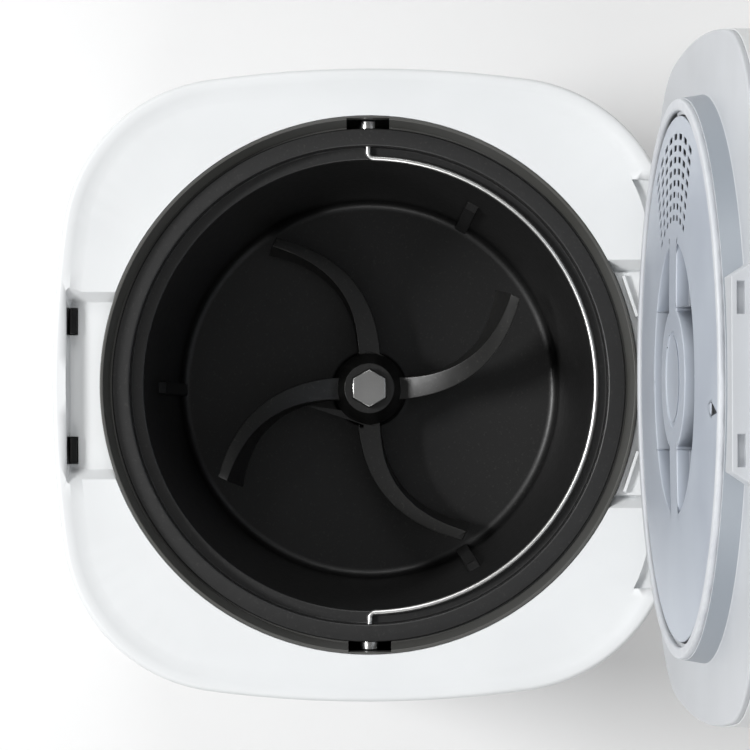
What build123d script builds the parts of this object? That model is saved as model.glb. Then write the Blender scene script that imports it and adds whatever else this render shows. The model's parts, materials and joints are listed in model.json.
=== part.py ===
from build123d import *
import math
import os

# Electric food waste composter: a rounded-square body with a round bucket sunk in its deck, and a
# lid that swings on its rear edge. Millimetres, +Z up, origin on the floor under the bucket's
# centre. The front is -Y, the hinge +Y. The lid is drawn shut and then turned open.

# Plan outline: a square with bowed sides and round corners
deck_margin = 20.9
side_radius = 517.0
corner_radius = 75.0
wall = 2.8
play = 0.3

# Levels
foot_height = 5.0
pan_floor = 3.0
deck_level = 300.0
seam_drop = 12.6
rim_rise = 3.0
deck_wall = 2.5
pocket_depth = 7.0
pit_round = 2.0
base_draft = 2.0

# Base
foot_inset = 12.0
foot_width = 8.0
plinth_inset = 6.0
post_inset = 46.0
post_radius = 5.5
post_height = 62.0
screw_radius = 1.5
screw_head = 3.2

# Deck
rim_width = 6.0
band_width = 5.5
rim_gap_half = 90.5
bezel_gap = 0.4
bezel_width = 4.2
latch_pocket_half = 37.1
latch_pocket_wall = 7.4
hinge_pocket_half = 50.0
hinge_pocket_wall = 4.0
slot_place = 28.6
slot_width = 12.0
slot_depth = 3.4

# Bucket
flange_drop = 8.0
flange_thick = 2.0
flange_width = 8.2
mouth_radius = 106.3
ledge_drop = 9.0
ledge_width = 5.7
bucket_wall = 1.8
bucket_bottom = 124.0
bucket_taper = 8.6
bucket_floor = 3.0
rib_count = 3
rib_reach = 3.6
rib_height = 96.0
bail_wire = 1.2
bail_elbow = 2.6
bail_gap = 4.9
pivot_radius = 4.3
pivot_neck = 2.3
pivot_gap = 1.5
pivot_drop = 6.6
key_half = 8.8

# Chamber
well_gap = 1.6
well_wall = 1.2
well_floor_gap = 7.0
well_hole = 30.0
well_screw_out = 10.9
notch_half = 9.5

# Agitator
shaft_radius = 6.0
shaft_fit = 0.05
hub_radius = 17.0
hub_height = 34.0
hub_seat = 9.6
nut_height = 7.0
paddle_gap = 9.0
paddle_sweep = 34.0

# Drive
gear_module = 1.25
last_module = 1.75
pinion_teeth = 12
wheel_teeth = 32
output_teeth = 36
axle_radius = 2.5
gear_width = 7.0
output_width = 12.0
case_level = 50.0
case_wall = 3.0
case_height = 45.0
case_x = (-78.0, 40.0)
case_y = (-44.0, 62.0)
motor_radius = 26.0
motor_height = 38.0
lug_count = 3
lug_span = 48.0
coupling_radius = 17.0

# Front controls
button_drop = 60.0
button_radius = 8.3
button_travel = 1.0
lens_drop = 22.0
lens_pitch = 16.0

# Rear inlet
inlet_level = 42.0
inlet_width = 26.6
inlet_height = 19.6
inlet_depth = 22.0

# Lid
hinge_inset = 8.0
hinge_rise = 9.0
lid_open = 94.0
lid_height = 36.0
lid_round = 12.0
liner_plate = 2.5
boss_flare = 1.5
boss_height = 8.2
gasket_inset = 2.5
gasket_width = 4.8
gasket_gap = 0.3
cover_inset = 2.0
cover_gap = 0.4
cover_thick = 2.2
cover_crown = 2.2
grip_radius = 55.6
grip_depth = 11.0
grip_end_depth = 5.8
grip_bar = 19.0
grip_hub = 32.3
grip_waist = 28.6
dish_radius = 19.5
slot_rows = 8
slot_inset = 8.4
slot_pitch = 4.7
slot_height = 2.2
slot_step = 7.7
slot_angle = 4.8
lug_total = 3
lug_reach = 1.2
lug_start = 10
lug_arc = 10
lug_turn = 35
filter_inset = 9.8
fan_size = 80.0
fan_thick = 15.0
fan_room = 5.2
block_gap = 2.2
block_depth = 18.8
block_half = 36.7
block_flare = 0.63
magnet_depth = 5.4
hook_blade = 0.8
hook_barb = 2.0
hook_width = 11.0
hook_rise = 4.2
hook_height = 2.8
rocker_inset = 5.6
rocker_drop = 11.0
rocker_rod = 1.5
rocker_half = 40.0
rocker_arm = 20.0
lid_button_drop = 12.0
lid_button_half = 22.0
lid_button_height = 12.0
lid_button_travel = 1.2

# Hinge
knuckle_radius = 6.0
pin_radius = 2.5
pin_fit = 0.05
ear_width = 6.0
arm_width = 9.0

flange_outer = mouth_radius + flange_width
bezel_inner = flange_outer + bezel_gap
bezel_outer = bezel_inner + bezel_width
body_half = bezel_outer + deck_margin
ledge_radius = mouth_radius - ledge_width
bucket_base_radius = ledge_radius - bucket_taper
bail_radius = mouth_radius - bail_gap
pivot_reach = bezel_outer - pivot_gap
paddle_reach = bucket_base_radius - paddle_gap
well_screw_circle = bezel_outer + well_screw_out
gasket_inner = mouth_radius + gasket_inset
gasket_outer = gasket_inner + gasket_width
boss_radius = gasket_outer + cover_gap
boss_foot = boss_radius + boss_flare
cover_radius = gasket_inner - cover_inset
slot_outer = cover_radius - slot_inset
filter_radius = cover_radius - filter_inset
shell_post = body_half - post_inset
latch_pocket_front = body_half - latch_pocket_wall
hinge_pocket_back = body_half - hinge_pocket_wall
hinge_y = body_half - hinge_inset
block_front = latch_pocket_front - block_gap
magnet_place = block_front - magnet_depth
rocker_y = rocker_inset - latch_pocket_front

seam_level = deck_level - seam_drop
flange_top = deck_level - flange_drop
hinge_z = deck_level + hinge_rise
button_level = deck_level - button_drop
lens_level = button_level - lens_drop
rim_level = deck_level + rim_rise
pan_top = foot_height + pan_floor
pocket_level = deck_level - pocket_depth
hook_catch = pocket_level + hook_rise
hook_top = hook_catch + hook_height
rocker_z = pocket_level - rocker_drop
lid_button_level = rocker_z - lid_button_drop
slot_recess = lid_button_travel * (hook_top - rocker_z) / lid_button_drop
band_inset = rim_width + band_width
ledge_level = flange_top - ledge_drop
pivot_level = flange_top - pivot_drop
well_flange = flange_top - flange_thick
inner_floor = bucket_bottom + bucket_floor
well_floor = bucket_bottom - well_floor_gap
lid_bottom = rim_level
lid_top = lid_bottom + lid_height
shell_bottom = lid_bottom + liner_plate
recess_top = lid_top - wall - fan_thick - fan_room
boss_face = lid_bottom - boss_height
gasket_face = flange_top + gasket_gap
cover_edge = gasket_face + 1.1
case_top = case_level + case_height


def polar(radius, degrees, z=None):
    turn = math.radians(degrees)
    point = (radius * math.cos(turn), radius * math.sin(turn))
    return point if z is None else (*point, z)


def corner_centre():
    """Both plan coordinates of the point that a corner's arc turns about."""
    side_centre = body_half - side_radius
    reach = side_radius - corner_radius
    return (side_centre + math.sqrt(2 * reach**2 - side_centre**2)) / 2


def squircle(inset=0.0):
    """The plan outline, moved inward by inset. The arcs keep their centres."""
    side_centre = body_half - side_radius
    corner = corner_centre()
    scale = (side_radius - inset) / (side_radius - corner_radius)
    near, far = corner * scale, side_centre + (corner - side_centre) * scale
    bulge = corner + (corner_radius - inset) * math.sqrt(0.5)
    flat = body_half - inset
    quarter = [
        ThreePointArc((-near, far), (0, flat), (near, far)),
        ThreePointArc((near, far), (bulge, bulge), (far, near)),
    ]
    edges = [edge.rotate(Axis.Z, turn) for turn in (0, -90, -180, -270) for edge in quarter]
    return make_face(Wire(edges))


def edge_y(x, inset=0.0):
    """How far from the middle the bowed side lies at a distance x along it."""
    radius = side_radius - inset
    return math.sqrt(radius**2 - x**2) - side_radius + body_half


def slab(inset, low, high):
    return extrude(Pos(0, 0, low) * squircle(inset), high - low)


def drafted(inset_low, low, inset_high, high):
    return loft([Pos(0, 0, low) * squircle(inset_low), Pos(0, 0, high) * squircle(inset_high)], ruled=True)


def turned(*points):
    """A solid of revolution about Z from (radius, height) points."""
    return revolve(Plane.XZ * make_face(Polyline(*points, close=True)), Axis.Z)


def tube(inner, outer, low, high):
    return turned((inner, low), (outer, low), (outer, high), (inner, high))


def post(radius, low, high, x=0.0, y=0.0):
    return Pos(x, y, low) * Cylinder(radius, high - low, align=(Align.CENTER, Align.CENTER, Align.MIN))


def rod_x(radius, low, high, y, z):
    align = (Align.CENTER, Align.CENTER, Align.MIN)
    return Pos(low, y, z) * Rot(0, 90, 0) * Cylinder(radius, high - low, align=align)


def rod_y(radius, low, high, x, z):
    align = (Align.CENTER, Align.CENTER, Align.MIN)
    return Pos(x, low, z) * Rot(-90, 0, 0) * Cylinder(radius, high - low, align=align)


def block(x, y, z):
    """A box from three (low, high) pairs."""
    middle = [sum(pair) / 2 for pair in (x, y, z)]
    return Pos(*middle) * Box(*(pair[1] - pair[0] for pair in (x, y, z)))


def level_edges(part, level):
    return part.edges().filter_by_position(Axis.Z, level - 0.01, level + 0.01)


def corners(place):
    return [(x, y) for x in (-place, place) for y in (-place, place)]


# Base and body


def shell_inset(level):
    """The body's sides lean in towards the floor."""
    return base_draft * (seam_level - level) / (seam_level - pan_top)


def body_shell():
    outer = drafted(base_draft, pan_top, 0, seam_level)
    outer = chamfer(level_edges(outer, seam_level), 0.7)
    shell = outer - drafted(base_draft + wall, pan_top - 0.01, wall, seam_level + 0.01)
    web_end = corner_centre() * math.sqrt(2) + corner_radius - base_draft - wall / 2
    for turn in (45, 135, 225, 315):
        foot = math.sqrt(2) * shell_post
        web = Rot(0, 0, turn) * block((foot, web_end), (-1.25, 1.25), (pan_top, post_height))
        shell += web + post(post_radius, pan_top, post_height, *polar(foot, turn))
    for x, y in corners(shell_post):
        shell -= post(screw_radius, pan_top - 1, pan_top + 16, x, y)
    board_y = board_front()
    for x in (-36, 36):
        for z in (lens_level - 6, button_level + 16):
            shell += rod_y(3.2, -body_half + wall / 2 + 0.8, board_y, x, z)
            shell -= rod_y(1.1, board_y - 8, board_y + 1, x, z)
    shell -= rod_y(button_radius + 2.7, -body_half - 2, -body_half + 6, 0, button_level)
    z = (lid_button_level - lid_button_height / 2, lid_button_level + lid_button_height / 2)
    shell -= block((-lid_button_half, lid_button_half), (-body_half - 2, -body_half + 8), z)
    for x in (-lens_pitch, 0, lens_pitch):
        shell -= lens(x, 0.15)
    half_w, half_h = inlet_width / 2 + 0.2, inlet_height / 2 + 0.2
    z = (inlet_level - half_h, inlet_level + half_h)
    shell -= block((-half_w, half_w), (body_half - 8, body_half + 2), z)
    for step in range(-5, 6):
        shell -= Pos(8 * step) * block((-1.5, 1.5), (body_half - 9, body_half + 2), (82, 108))
    return shell


def base_pan():
    rest = slab(base_draft + 1, foot_height + pan_floor / 2, pan_top)
    plinth = drafted(plinth_inset, foot_height, plinth_inset - 1.2, foot_height + pan_floor / 2)
    inset = base_draft + wall + play
    rib = slab(inset, pan_top, pan_top + 9) - slab(inset + 2.2, pan_top - 1, pan_top + 10)
    pan = rest + plinth + rib
    for turn in (45, 135, 225, 315):
        gap = block((shell_post, body_half * 2), (-1.25 - play, 1.25 + play), (pan_top, pan_top + 10))
        pan -= Rot(0, 0, turn) * gap
    for x, y in corners(shell_post):
        pan -= post(post_radius + play, pan_top, pan_top + 10, x, y)
        pan -= post(screw_radius + 0.3, 0, pan_top + 1, x, y)
        pan -= post(screw_head + 0.4, 0, foot_height + 1.6, x, y)
    foot_low = foot_inset - 0.2
    groove = slab(foot_low, foot_height - 1, foot_height + 1.2)
    pan -= groove - slab(foot_inset + foot_width + 0.2, foot_height - 2, foot_height + 2)
    for x, y in case_posts():
        pan += post(6, pan_top - 0.5, case_level, x, y)
        pan -= post(screw_radius, case_level - 14, case_level + 1, x, y)
    for x, y in board_posts():
        pan += post(3.5, pan_top - 0.5, board_level(), x, y)
        pan -= post(1.1, board_level() - 8, board_level() + 1, x, y)
    for side in range(0, 360, 90):
        for step in range(-2, 3):
            vent = block((body_half - 56, body_half - 28), (-1.6, 1.6), (0, pan_top + 1))
            pan -= Rot(0, 0, side + 7 * step) * vent
    return pan


def foot_ring():
    ring = slab(foot_inset, 0, foot_height + 1.2) - slab(foot_inset + foot_width, -1, foot_height + 2)
    return chamfer(level_edges(ring, 0), 1.0)


def base_screws():
    group = []
    for x, y in corners(shell_post):
        shank = post(screw_radius - 0.05, foot_height + 1.6, pan_top + 14, x, y)
        group.append(shank + post(screw_head, foot_height - 0.8, foot_height + 1.6, x, y))
    return Compound(children=group)


# Deck


def tapered_pit(half, near, far, level, side_slope, far_slope):
    """A pit that widens upward, from y = near to y = far at its floor."""
    rise = rim_level + 1 - level
    low = Pos(0, (near + far) / 2, level) * Rectangle(2 * half, abs(far - near))
    grown_far = far + math.copysign(far_slope * rise, far)
    high_half = half + side_slope * rise
    high = Pos(0, (near + grown_far) / 2, level + rise) * Rectangle(2 * high_half, abs(grown_far - near))
    pit = loft([low, high], ruled=True)
    upright = pit.edges().filter_by(lambda edge: edge.bounding_box().size.Z > rise * 0.9).sort_by(Axis.Y)
    return fillet(upright[:2] if far < 0 else upright[-2:], pit_round)


def latch_pit():
    return tapered_pit(latch_pocket_half, -100, -latch_pocket_front, pocket_level, 0.63, 0.12)


def hinge_pit():
    return tapered_pit(hinge_pocket_half, 100, hinge_pocket_back, pocket_level, 0.71, 0.0)


def deck_tubs():
    """Floors under the two pits and under the lowered rear edge."""
    low = pocket_level - deck_wall
    top = deck_level - deck_wall + 0.5
    front = block((-46.5, 46.5), (-body_half, -100), (low, top))
    rear = block((-60, 60), (100, body_half), (low, top))
    shelf = block((-rim_gap_half - 2.5, rim_gap_half + 2.5), (60, body_half), (deck_level - 6, top))
    return (front + rear + shelf) & slab(wall / 2, low - 1, rim_level)


def hook_slot(side):
    return side * slot_place - slot_width / 2, side * slot_place + slot_width / 2


def hook_opening(side):
    """A slot through the pit's floor that runs up into a recess in its front wall."""
    wall_y = -latch_pocket_front
    low = pocket_level - deck_wall - 1
    section = Polyline(
        (wall_y - slot_recess, low),
        (wall_y + slot_depth, low),
        (wall_y + slot_depth, pocket_level + 1),
        (wall_y + 1, pocket_level + 1),
        (wall_y + 1, hook_top + 1),
        (wall_y - slot_recess, hook_top + 1),
        close=True,
    )
    x = hook_slot(side)
    side_plane = Plane((x[0], 0, 0), x_dir=(0, 1, 0), z_dir=(1, 0, 0))
    return extrude(side_plane * make_face(section), slot_width)


def rocker_boss(side):
    """A lug under the front pit that carries one end of the latch's rod."""
    x = sorted((side * (rocker_half - 2.5), side * (rocker_half + 1)))
    low, high = rocker_z - rocker_rod - 2.5, pocket_level - deck_wall
    return block(x, (rocker_y - 4, rocker_y + 4), (low, high + 0.5))


def top_deck():
    deck = slab(0, seam_level, rim_level)
    deck = fillet(level_edges(deck, rim_level), 2.2)
    deck = chamfer(level_edges(deck, seam_level), 0.7)
    deck -= slab(wall, seam_level - 1, deck_level - deck_wall)
    lip = slab(wall + play, seam_level - 8, deck_level - deck_wall)
    deck += lip - slab(wall + play + 2.2, seam_level - 9, deck_level)
    deck += deck_tubs()
    slope = band_width / rim_rise
    deck -= drafted(band_inset, deck_level, rim_width - slope, rim_level + 1)
    for turn in (45, 135, 225, 315):
        x, y = polar(well_screw_circle, turn)
        deck += post(4.5, well_flange, deck_level - 1, x, y)
        deck -= post(screw_radius - 0.2, well_flange - 1, well_flange + 7, x, y)
    deck -= post(bezel_outer + 0.2, seam_level - 10, rim_level + 1)
    deck -= latch_pit()
    deck -= hinge_pit()
    beyond = slab(-5, deck_level - 3.5, rim_level + 2) - slab(band_inset, deck_level - 5, rim_level + 3)
    deck -= beyond & block((-rim_gap_half, rim_gap_half), (60, body_half + 5), (seam_level, rim_level + 2))
    for side in (-1, 1):
        deck += rocker_boss(side)
        deck -= hook_opening(side)
    return deck - rod_x(rocker_rod + pin_fit, -rocker_half - 2, rocker_half + 2, rocker_y, rocker_z)


def bezel_ring():
    ring = turned(
        (bezel_inner, well_flange),
        (bezel_outer, well_flange),
        (bezel_outer, deck_level + 0.4),
        (bezel_outer - 1.2, deck_level + 0.4),
        (bezel_inner, well_flange + 1.4),
    )
    for side in (-1, 1):
        x = sorted((side * (bezel_inner - 3), side * (bezel_outer - 0.9)))
        ring -= block(x, (-notch_half, notch_half), (well_flange - 1, deck_level + 2))
    return ring


# Chamber


def well_radius(level):
    """The well's inner face follows the bucket's taper."""
    slope = (ledge_radius - bucket_base_radius) / (ledge_level - inner_floor)
    return bucket_base_radius + bucket_wall + well_gap + slope * (level - inner_floor)


def chamber_well():
    rim = mouth_radius + bucket_wall + 0.7
    shoulder = ledge_level - bucket_wall - 2.5
    inner = [
        (well_hole, well_floor),
        (well_radius(well_floor), well_floor),
        (well_radius(shoulder), shoulder),
        (rim, shoulder + 1.5),
        (rim, well_flange),
    ]
    outer = [
        (bezel_outer + 3.5, well_flange),
        (bezel_outer + 3.5, well_flange - 1.5),
        (rim + well_wall, well_flange - 1.5),
        (rim + well_wall, shoulder + 0.6),
        (well_radius(shoulder) + well_wall, shoulder - 0.9),
        (well_radius(well_floor) + well_wall, well_floor - well_wall),
        (well_hole, well_floor - well_wall),
    ]
    well = turned(*inner, *outer)
    for turn in (45, 135, 225, 315):
        x, y = polar(well_screw_circle, turn)
        ear = block((bezel_outer, well_screw_circle + 5), (-6, 6), (well_flange - 1.5, well_flange))
        well += Rot(0, 0, turn) * ear
        well -= post(screw_radius + 0.2, well_flange - 3, well_flange + 1, x, y)
    for side in (-1, 1):
        x = sorted((side * (rim - 6), side * (bezel_outer - 0.9)))
        well -= block(x, (-notch_half, notch_half), (pivot_level - pivot_radius - 3, well_flange + 1))
    return well


def well_screws():
    group = []
    for turn in (45, 135, 225, 315):
        x, y = polar(well_screw_circle, turn)
        shank = post(screw_radius - 0.25, well_flange - 1.5, well_flange + 6, x, y)
        group.append(shank + post(screw_head, well_flange - 3.9, well_flange - 1.5, x, y))
    return Compound(children=group)


def heater_band():
    low, high = well_floor + 8, well_floor + 62
    points = []
    for level, out in ((low, 0.2), (low, 2.4), (high, 2.4), (high, 0.2)):
        points.append((well_radius(level) + well_wall + out, level))
    band = turned(*points)
    return band - block((80, 130), (-5, 5), (low - 1, high + 1))


def heater_clamp():
    level = well_floor + 35
    radius = well_radius(level + 20) + well_wall
    lug = block((radius + 0.4, radius + 8), (2, 5), (level - 20, level + 20))
    lug += block((radius + 0.4, radius + 8), (-5, -2), (level - 20, level + 20))
    bolts = [rod_y(1.6, -9, 9, radius + 5.2, level + lift) for lift in (-12, 12)]
    return lug + bolts[0] + bolts[1]


def insulation_sleeve():
    inner = well_radius(ledge_level) + well_wall + 2.2
    return tube(inner, inner + 5, well_floor + 4, ledge_level - 14)


def temperature_sensor():
    x = 62.0
    probe = post(6, well_floor - well_wall - 6, well_floor - well_wall, x)
    return probe + post(2, well_floor - well_wall - 12, well_floor - well_wall - 5, x)


# Drive


def second_axis():
    return polar(last_module * (pinion_teeth + output_teeth) / 2, 200)


def first_axis():
    spacing = gear_module * (pinion_teeth + wheel_teeth) / 2
    x, y = polar(spacing, 110)
    return (second_axis()[0] + x, second_axis()[1] + y)


def motor_axis():
    spacing = gear_module * (pinion_teeth + wheel_teeth) / 2
    x, y = polar(spacing, 60)
    return (first_axis()[0] + x, first_axis()[1] + y)


def heading(start, end):
    return math.atan2(end[1] - start[1], end[0] - start[0])


def spur_gear(module, teeth, low, high, tooth_at):
    """Stub involute teeth, each flank one arc through three points of the involute."""
    pressure = math.radians(20)
    pitch = module * teeth / 2
    base, tip, root = pitch * math.cos(pressure), pitch + 0.78 * module, pitch - module
    foot = max(base, root)
    half_pitch = math.pi / (2 * teeth) - 0.06 / pitch

    def half_angle(radius):
        slant = math.acos(min(1.0, base / radius))
        return half_pitch + math.tan(pressure) - pressure - math.tan(slant) + slant

    def spot(radius, turn):
        return (radius * math.cos(turn), radius * math.sin(turn))

    edges = []
    for index in range(teeth):
        turn = tooth_at + index * 2 * math.pi / teeth
        sides = []
        for side in (-1, 1):
            radii = (root, foot, (foot + tip) / 2, tip)
            sides.append([spot(r, turn + side * half_angle(max(r, foot))) for r in radii])
        up, down = sides
        if foot > root + 1e-6:
            edges.append(Line(up[0], up[1]))
        edges.append(ThreePointArc(up[1], up[2], up[3]))
        edges.append(Line(up[3], down[3]))
        edges.append(ThreePointArc(down[3], down[2], down[1]))
        if foot > root + 1e-6:
            edges.append(Line(down[1], down[0]))
        following = turn + 2 * math.pi / teeth - half_angle(foot)
        edges.append(Line(down[0], spot(root, following)))
    return extrude(Pos(0, 0, low) * make_face(Wire(edges)), high - low)


def gear_levels():
    first = case_level + case_wall + 4
    second = first + gear_width + 2
    third = second + gear_width + 3
    return first, second, third


def case_posts():
    across = (case_x[0] + 9, case_x[1] - 9)
    along = (case_y[0] + 9, case_y[1] - 9)
    return [(x, y) for x in across for y in along]


def case_outline(inset):
    width, depth = case_x[1] - case_x[0] - 2 * inset, case_y[1] - case_y[0] - 2 * inset
    return Pos(sum(case_x) / 2, sum(case_y) / 2) * RectangleRounded(width, depth, 13 - inset)


def gearbox_case():
    case = extrude(Pos(0, 0, case_level) * case_outline(0), case_height - case_wall)
    case -= extrude(Pos(0, 0, case_level + case_wall) * case_outline(case_wall), case_height)
    top = case_top - case_wall
    for x, y in case_posts():
        case += post(5.5, case_level, top, x, y)
        case -= post(screw_radius + 0.3, case_level - 1, top + 1, x, y)
    case += post(12, case_level, case_level + 9)
    case -= post(bearing_radius(), case_level + case_wall, case_top)
    for (x, y), level in zip((first_axis(), second_axis()), gear_levels()):
        case += post(5, case_level, level - 1, x, y)
        case -= post(axle_radius, case_level + 1, top, x, y)
    case -= post(9.5, case_level - 1, case_level + case_wall + 1, *motor_axis())
    return case


def gearbox_cover():
    cover = extrude(Pos(0, 0, case_top - case_wall) * case_outline(0), case_wall)
    cover += post(13, case_top - case_wall - 3, case_top + 3)
    cover -= post(bearing_radius(), case_top - case_wall - 4, case_top + 1.5)
    cover -= post(shaft_radius + 1, case_top - 1, case_top + 4)
    for x, y in case_posts():
        cover -= post(screw_radius + 0.3, case_top - 4, case_top + 1, x, y)
    for x, y in (first_axis(), second_axis()):
        cover += post(5, gear_levels()[2] + output_width + 1, case_top - case_wall, x, y)
        cover -= post(axle_radius, gear_levels()[2], case_top - 1, x, y)
    return cover


def gearbox_screws():
    group = []
    for x, y in case_posts():
        shank = post(screw_radius - 0.05, case_level - 12, case_top, x, y)
        group.append(shank + post(screw_head, case_top, case_top + 2.4, x, y))
    return Compound(children=group)


def bearing_radius():
    return shaft_radius + 4.0


def output_bearings():
    inner = shaft_radius + shaft_fit
    low = tube(inner, bearing_radius(), case_level + case_wall, case_level + 9)
    high = tube(inner, bearing_radius(), case_top - case_wall - 3, case_top + 1.5)
    return Compound(children=[low, high])


def output_shaft():
    return post(shaft_radius, case_level + case_wall + play, coupling_level() - 0.5)


def output_gear():
    low = gear_levels()[2]
    turn = heading((0, 0), second_axis())
    gear = spur_gear(last_module, output_teeth, low, low + output_width, turn)
    gear -= tube(shaft_radius + 5, last_module * output_teeth / 2 - 4.5, low + 8, low + output_width + 1)
    return gear - post(shaft_radius, low - 1, low + output_width + 1)


def second_gear():
    low, top = gear_levels()[1], gear_levels()[2] + output_width + 0.5
    x, y = second_axis()
    wheel_at = heading(second_axis(), first_axis()) + math.pi / wheel_teeth
    pinion_at = heading(second_axis(), (0, 0)) + math.pi / pinion_teeth
    gear = spur_gear(gear_module, wheel_teeth, low, low + gear_width, wheel_at)
    gear += spur_gear(last_module, pinion_teeth, low + gear_width - 0.5, top, pinion_at)
    return Pos(x, y) * (gear - post(axle_radius + shaft_fit, low - 1, top + 1))


def first_gear():
    low, top = gear_levels()[0], gear_levels()[1] + gear_width + 0.5
    x, y = first_axis()
    wheel_at = heading(first_axis(), motor_axis()) + math.pi / wheel_teeth
    pinion_at = heading(first_axis(), second_axis())
    gear = spur_gear(gear_module, wheel_teeth, low, low + gear_width, wheel_at)
    gear += spur_gear(gear_module, pinion_teeth, low + gear_width - 0.5, top, pinion_at)
    return Pos(x, y) * (gear - post(axle_radius + shaft_fit, low - 1, top + 1))


def motor_pinion():
    low = gear_levels()[0] - 0.5
    x, y = motor_axis()
    turn = heading(motor_axis(), first_axis())
    gear = spur_gear(gear_module, pinion_teeth, low, low + gear_width + 1, turn)
    return Pos(x, y) * (gear + post(2.4, case_level - motor_height / 2, low + 1))


def gear_axles():
    top = case_top - 1
    group = [post(axle_radius, case_level + 1, top, x, y) for x, y in (first_axis(), second_axis())]
    return Compound(children=group)


def motor():
    x, y = motor_axis()
    low = case_level - motor_height
    can = post(motor_radius, low, case_level, x, y)
    can = fillet(level_edges(can, low), 2.5)
    can += post(9, case_level - 1, case_level + case_wall, x, y)
    can -= post(2.9, case_level - motor_height / 2 - 0.5, case_level + case_wall + 1, x, y)
    for turn in range(0, 360, 60):
        px, py = polar(motor_radius, turn)
        can -= post(2.2, low + 6, case_level - 6, x + px, y + py)
    return can


def coupling_level():
    return case_top + 3.5


def dog_lugs(low, high, start):
    lugs = []
    for index in range(lug_count):
        turn = start + index * 360 / lug_count
        sector = turned_sector(shaft_radius + 4, coupling_radius - 0.5, low, high, turn, lug_span)
        lugs.append(sector)
    return lugs


def turned_sector(inner, outer, low, high, start, span):
    points = [(inner, low), (outer, low), (outer, high), (inner, high)]
    face = Plane.XZ * make_face(Polyline(*points, close=True))
    return Rot(0, 0, start) * revolve(face, Axis.Z, span)


def drive_coupling():
    level = coupling_level()
    hub = tube(shaft_radius, shaft_radius + 3.5, case_top + 3.1, level)
    hub += post(coupling_radius, level - 0.5, level + 4)
    hub -= post(shaft_radius, case_top, level - 0.5)
    for lug in dog_lugs(level + 3.5, level + 9, 0):
        hub += lug
    return hub


def driven_coupling():
    low = coupling_level() + 10
    hub = post(coupling_radius, low, low + 3.5)
    for lug in dog_lugs(low - 5, low + 0.5, 60):
        hub += lug
    return hub - post(shaft_radius, low + 1.5, low + 10)


# Electrics


def board_front():
    return -body_half + 18.4


def control_board():
    y = board_front()
    board = block((-42, 42), (y, y + 1.6), (lens_level - 13, button_level + 23))
    for x, z, w, h, d in ((-24, 236, 14, 14, 2), (24, 238, 10, 16, 2), (0, 222, 20, 8, 6)):
        board += block((x - w / 2, x + w / 2), (y + 1, y + 1.6 + d), (z - h / 2, z + h / 2))
    for x in (-36, 36):
        for z in (lens_level - 6, button_level + 16):
            board -= rod_y(1.3, y - 1, y + 3, x, z)
    return board


def board_screws():
    y = board_front() + 1.6
    group = []
    for x in (-36, 36):
        for z in (lens_level - 6, button_level + 16):
            group.append(rod_y(1.05, y - 7, y, x, z) + rod_y(2.4, y, y + 1.6, x, z))
    return Compound(children=group)


def touch_switch():
    y = board_front()
    can = block((-3.1, 3.1), (y - 3.2, y), (button_level - 3.1, button_level + 3.1))
    return can + rod_y(1.7, y - 4, y - 3, 0, button_level)


def button_ring():
    face = -edge_y(0, shell_inset(button_level + 12)) - 0.05
    ring = rod_y(button_radius + 4.2, face - 1.2, face, 0, button_level)
    ring = fillet(ring.edges().sort_by(Axis.Y)[0], 0.8)
    ring += rod_y(button_radius + 2.55, face - 0.5, face + 8, 0, button_level)
    return ring - rod_y(button_radius + 0.1, face - 3, face + 10, 0, button_level)


def power_button():
    face = -body_half - 1.6
    cap = rod_y(button_radius, face, face + 6, 0, button_level)
    cap = fillet(cap.edges().sort_by(Axis.Y)[0], 0.9)
    cap -= rod_y(button_radius - 1.6, face + 2, face + 7, 0, button_level)
    end = board_front() - 4 - button_travel - 0.1
    return cap + rod_y(2.2, face + 1, end, 0, button_level)


def lens(x, extra=0.0):
    """One light pipe from the board to the front wall."""
    front = -edge_y(x, shell_inset(lens_level)) - (2 if extra else 0.1)
    back = board_front() - (8 if extra else 0.6)
    pill = SlotOverall(9 + 2 * extra, 2.6 + 2 * extra)
    return extrude(Plane((x, back, lens_level), x_dir=(1, 0, 0), z_dir=(0, -1, 0)) * pill, back - front)


def indicator_lenses():
    return Compound(children=[lens(x) for x in (-lens_pitch, 0, lens_pitch)])


def board_level():
    return pan_top + 14


def board_posts():
    return [(x, y) for x in (54, 112) for y in (-46, 46)]


def power_board():
    z = board_level()
    board = block((49, 117), (-51, 51), (z, z + 1.6))
    for x, y in board_posts():
        board -= post(1.3, z - 1, z + 3, x, y)
    return board


def power_parts():
    z = board_level() + 1.6
    core = block((60, 96), (-36, -8), (z, z + 26))
    relay = block((60, 75), (4, 32), (z, z + 16))
    cans = [post(r, z, z + h, x, y) for r, h, x, y in ((8, 26, 94, 10), (6, 18, 94, 32), (5, 14, 106, -36))]
    sink = block((103, 106), (-20, 20), (z, z + 24))
    return Compound(children=[core, relay, *cans, sink])


def inlet_face():
    return edge_y(0, shell_inset(inlet_level + 12)) + 0.05


def power_inlet():
    """A three-pin appliance inlet, its mouth in the rear wall."""
    face = inlet_face()
    half_w, half_h = inlet_width / 2, inlet_height / 2
    back = face + 2.2 - inlet_depth

    def box(grow, low, high):
        z = (inlet_level - half_h - grow, inlet_level + half_h + grow)
        return block((-half_w - grow, half_w + grow), (low, high), z)

    flange = box(2.4, face, face + 2.2)
    flange = fillet(flange.edges().filter_by(Axis.Y), 2.5)
    mouth = box(-1.6, back + 2, face + 4)
    upper = mouth.edges().filter_by(Axis.Y).sort_by(Axis.Z)[-2:]
    return flange + box(0, back, face + 1) - chamfer(upper, 4.2) - inlet_pins()


def inlet_pins():
    base = inlet_face() + 2.2 - inlet_depth
    pins = Part()
    for x, z in ((-7, -2), (7, -2), (0, 2)):
        pins += block((x - 1, x + 1), (base - 6, base + 13), (inlet_level + z - 2, inlet_level + z + 2))
    return pins


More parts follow.
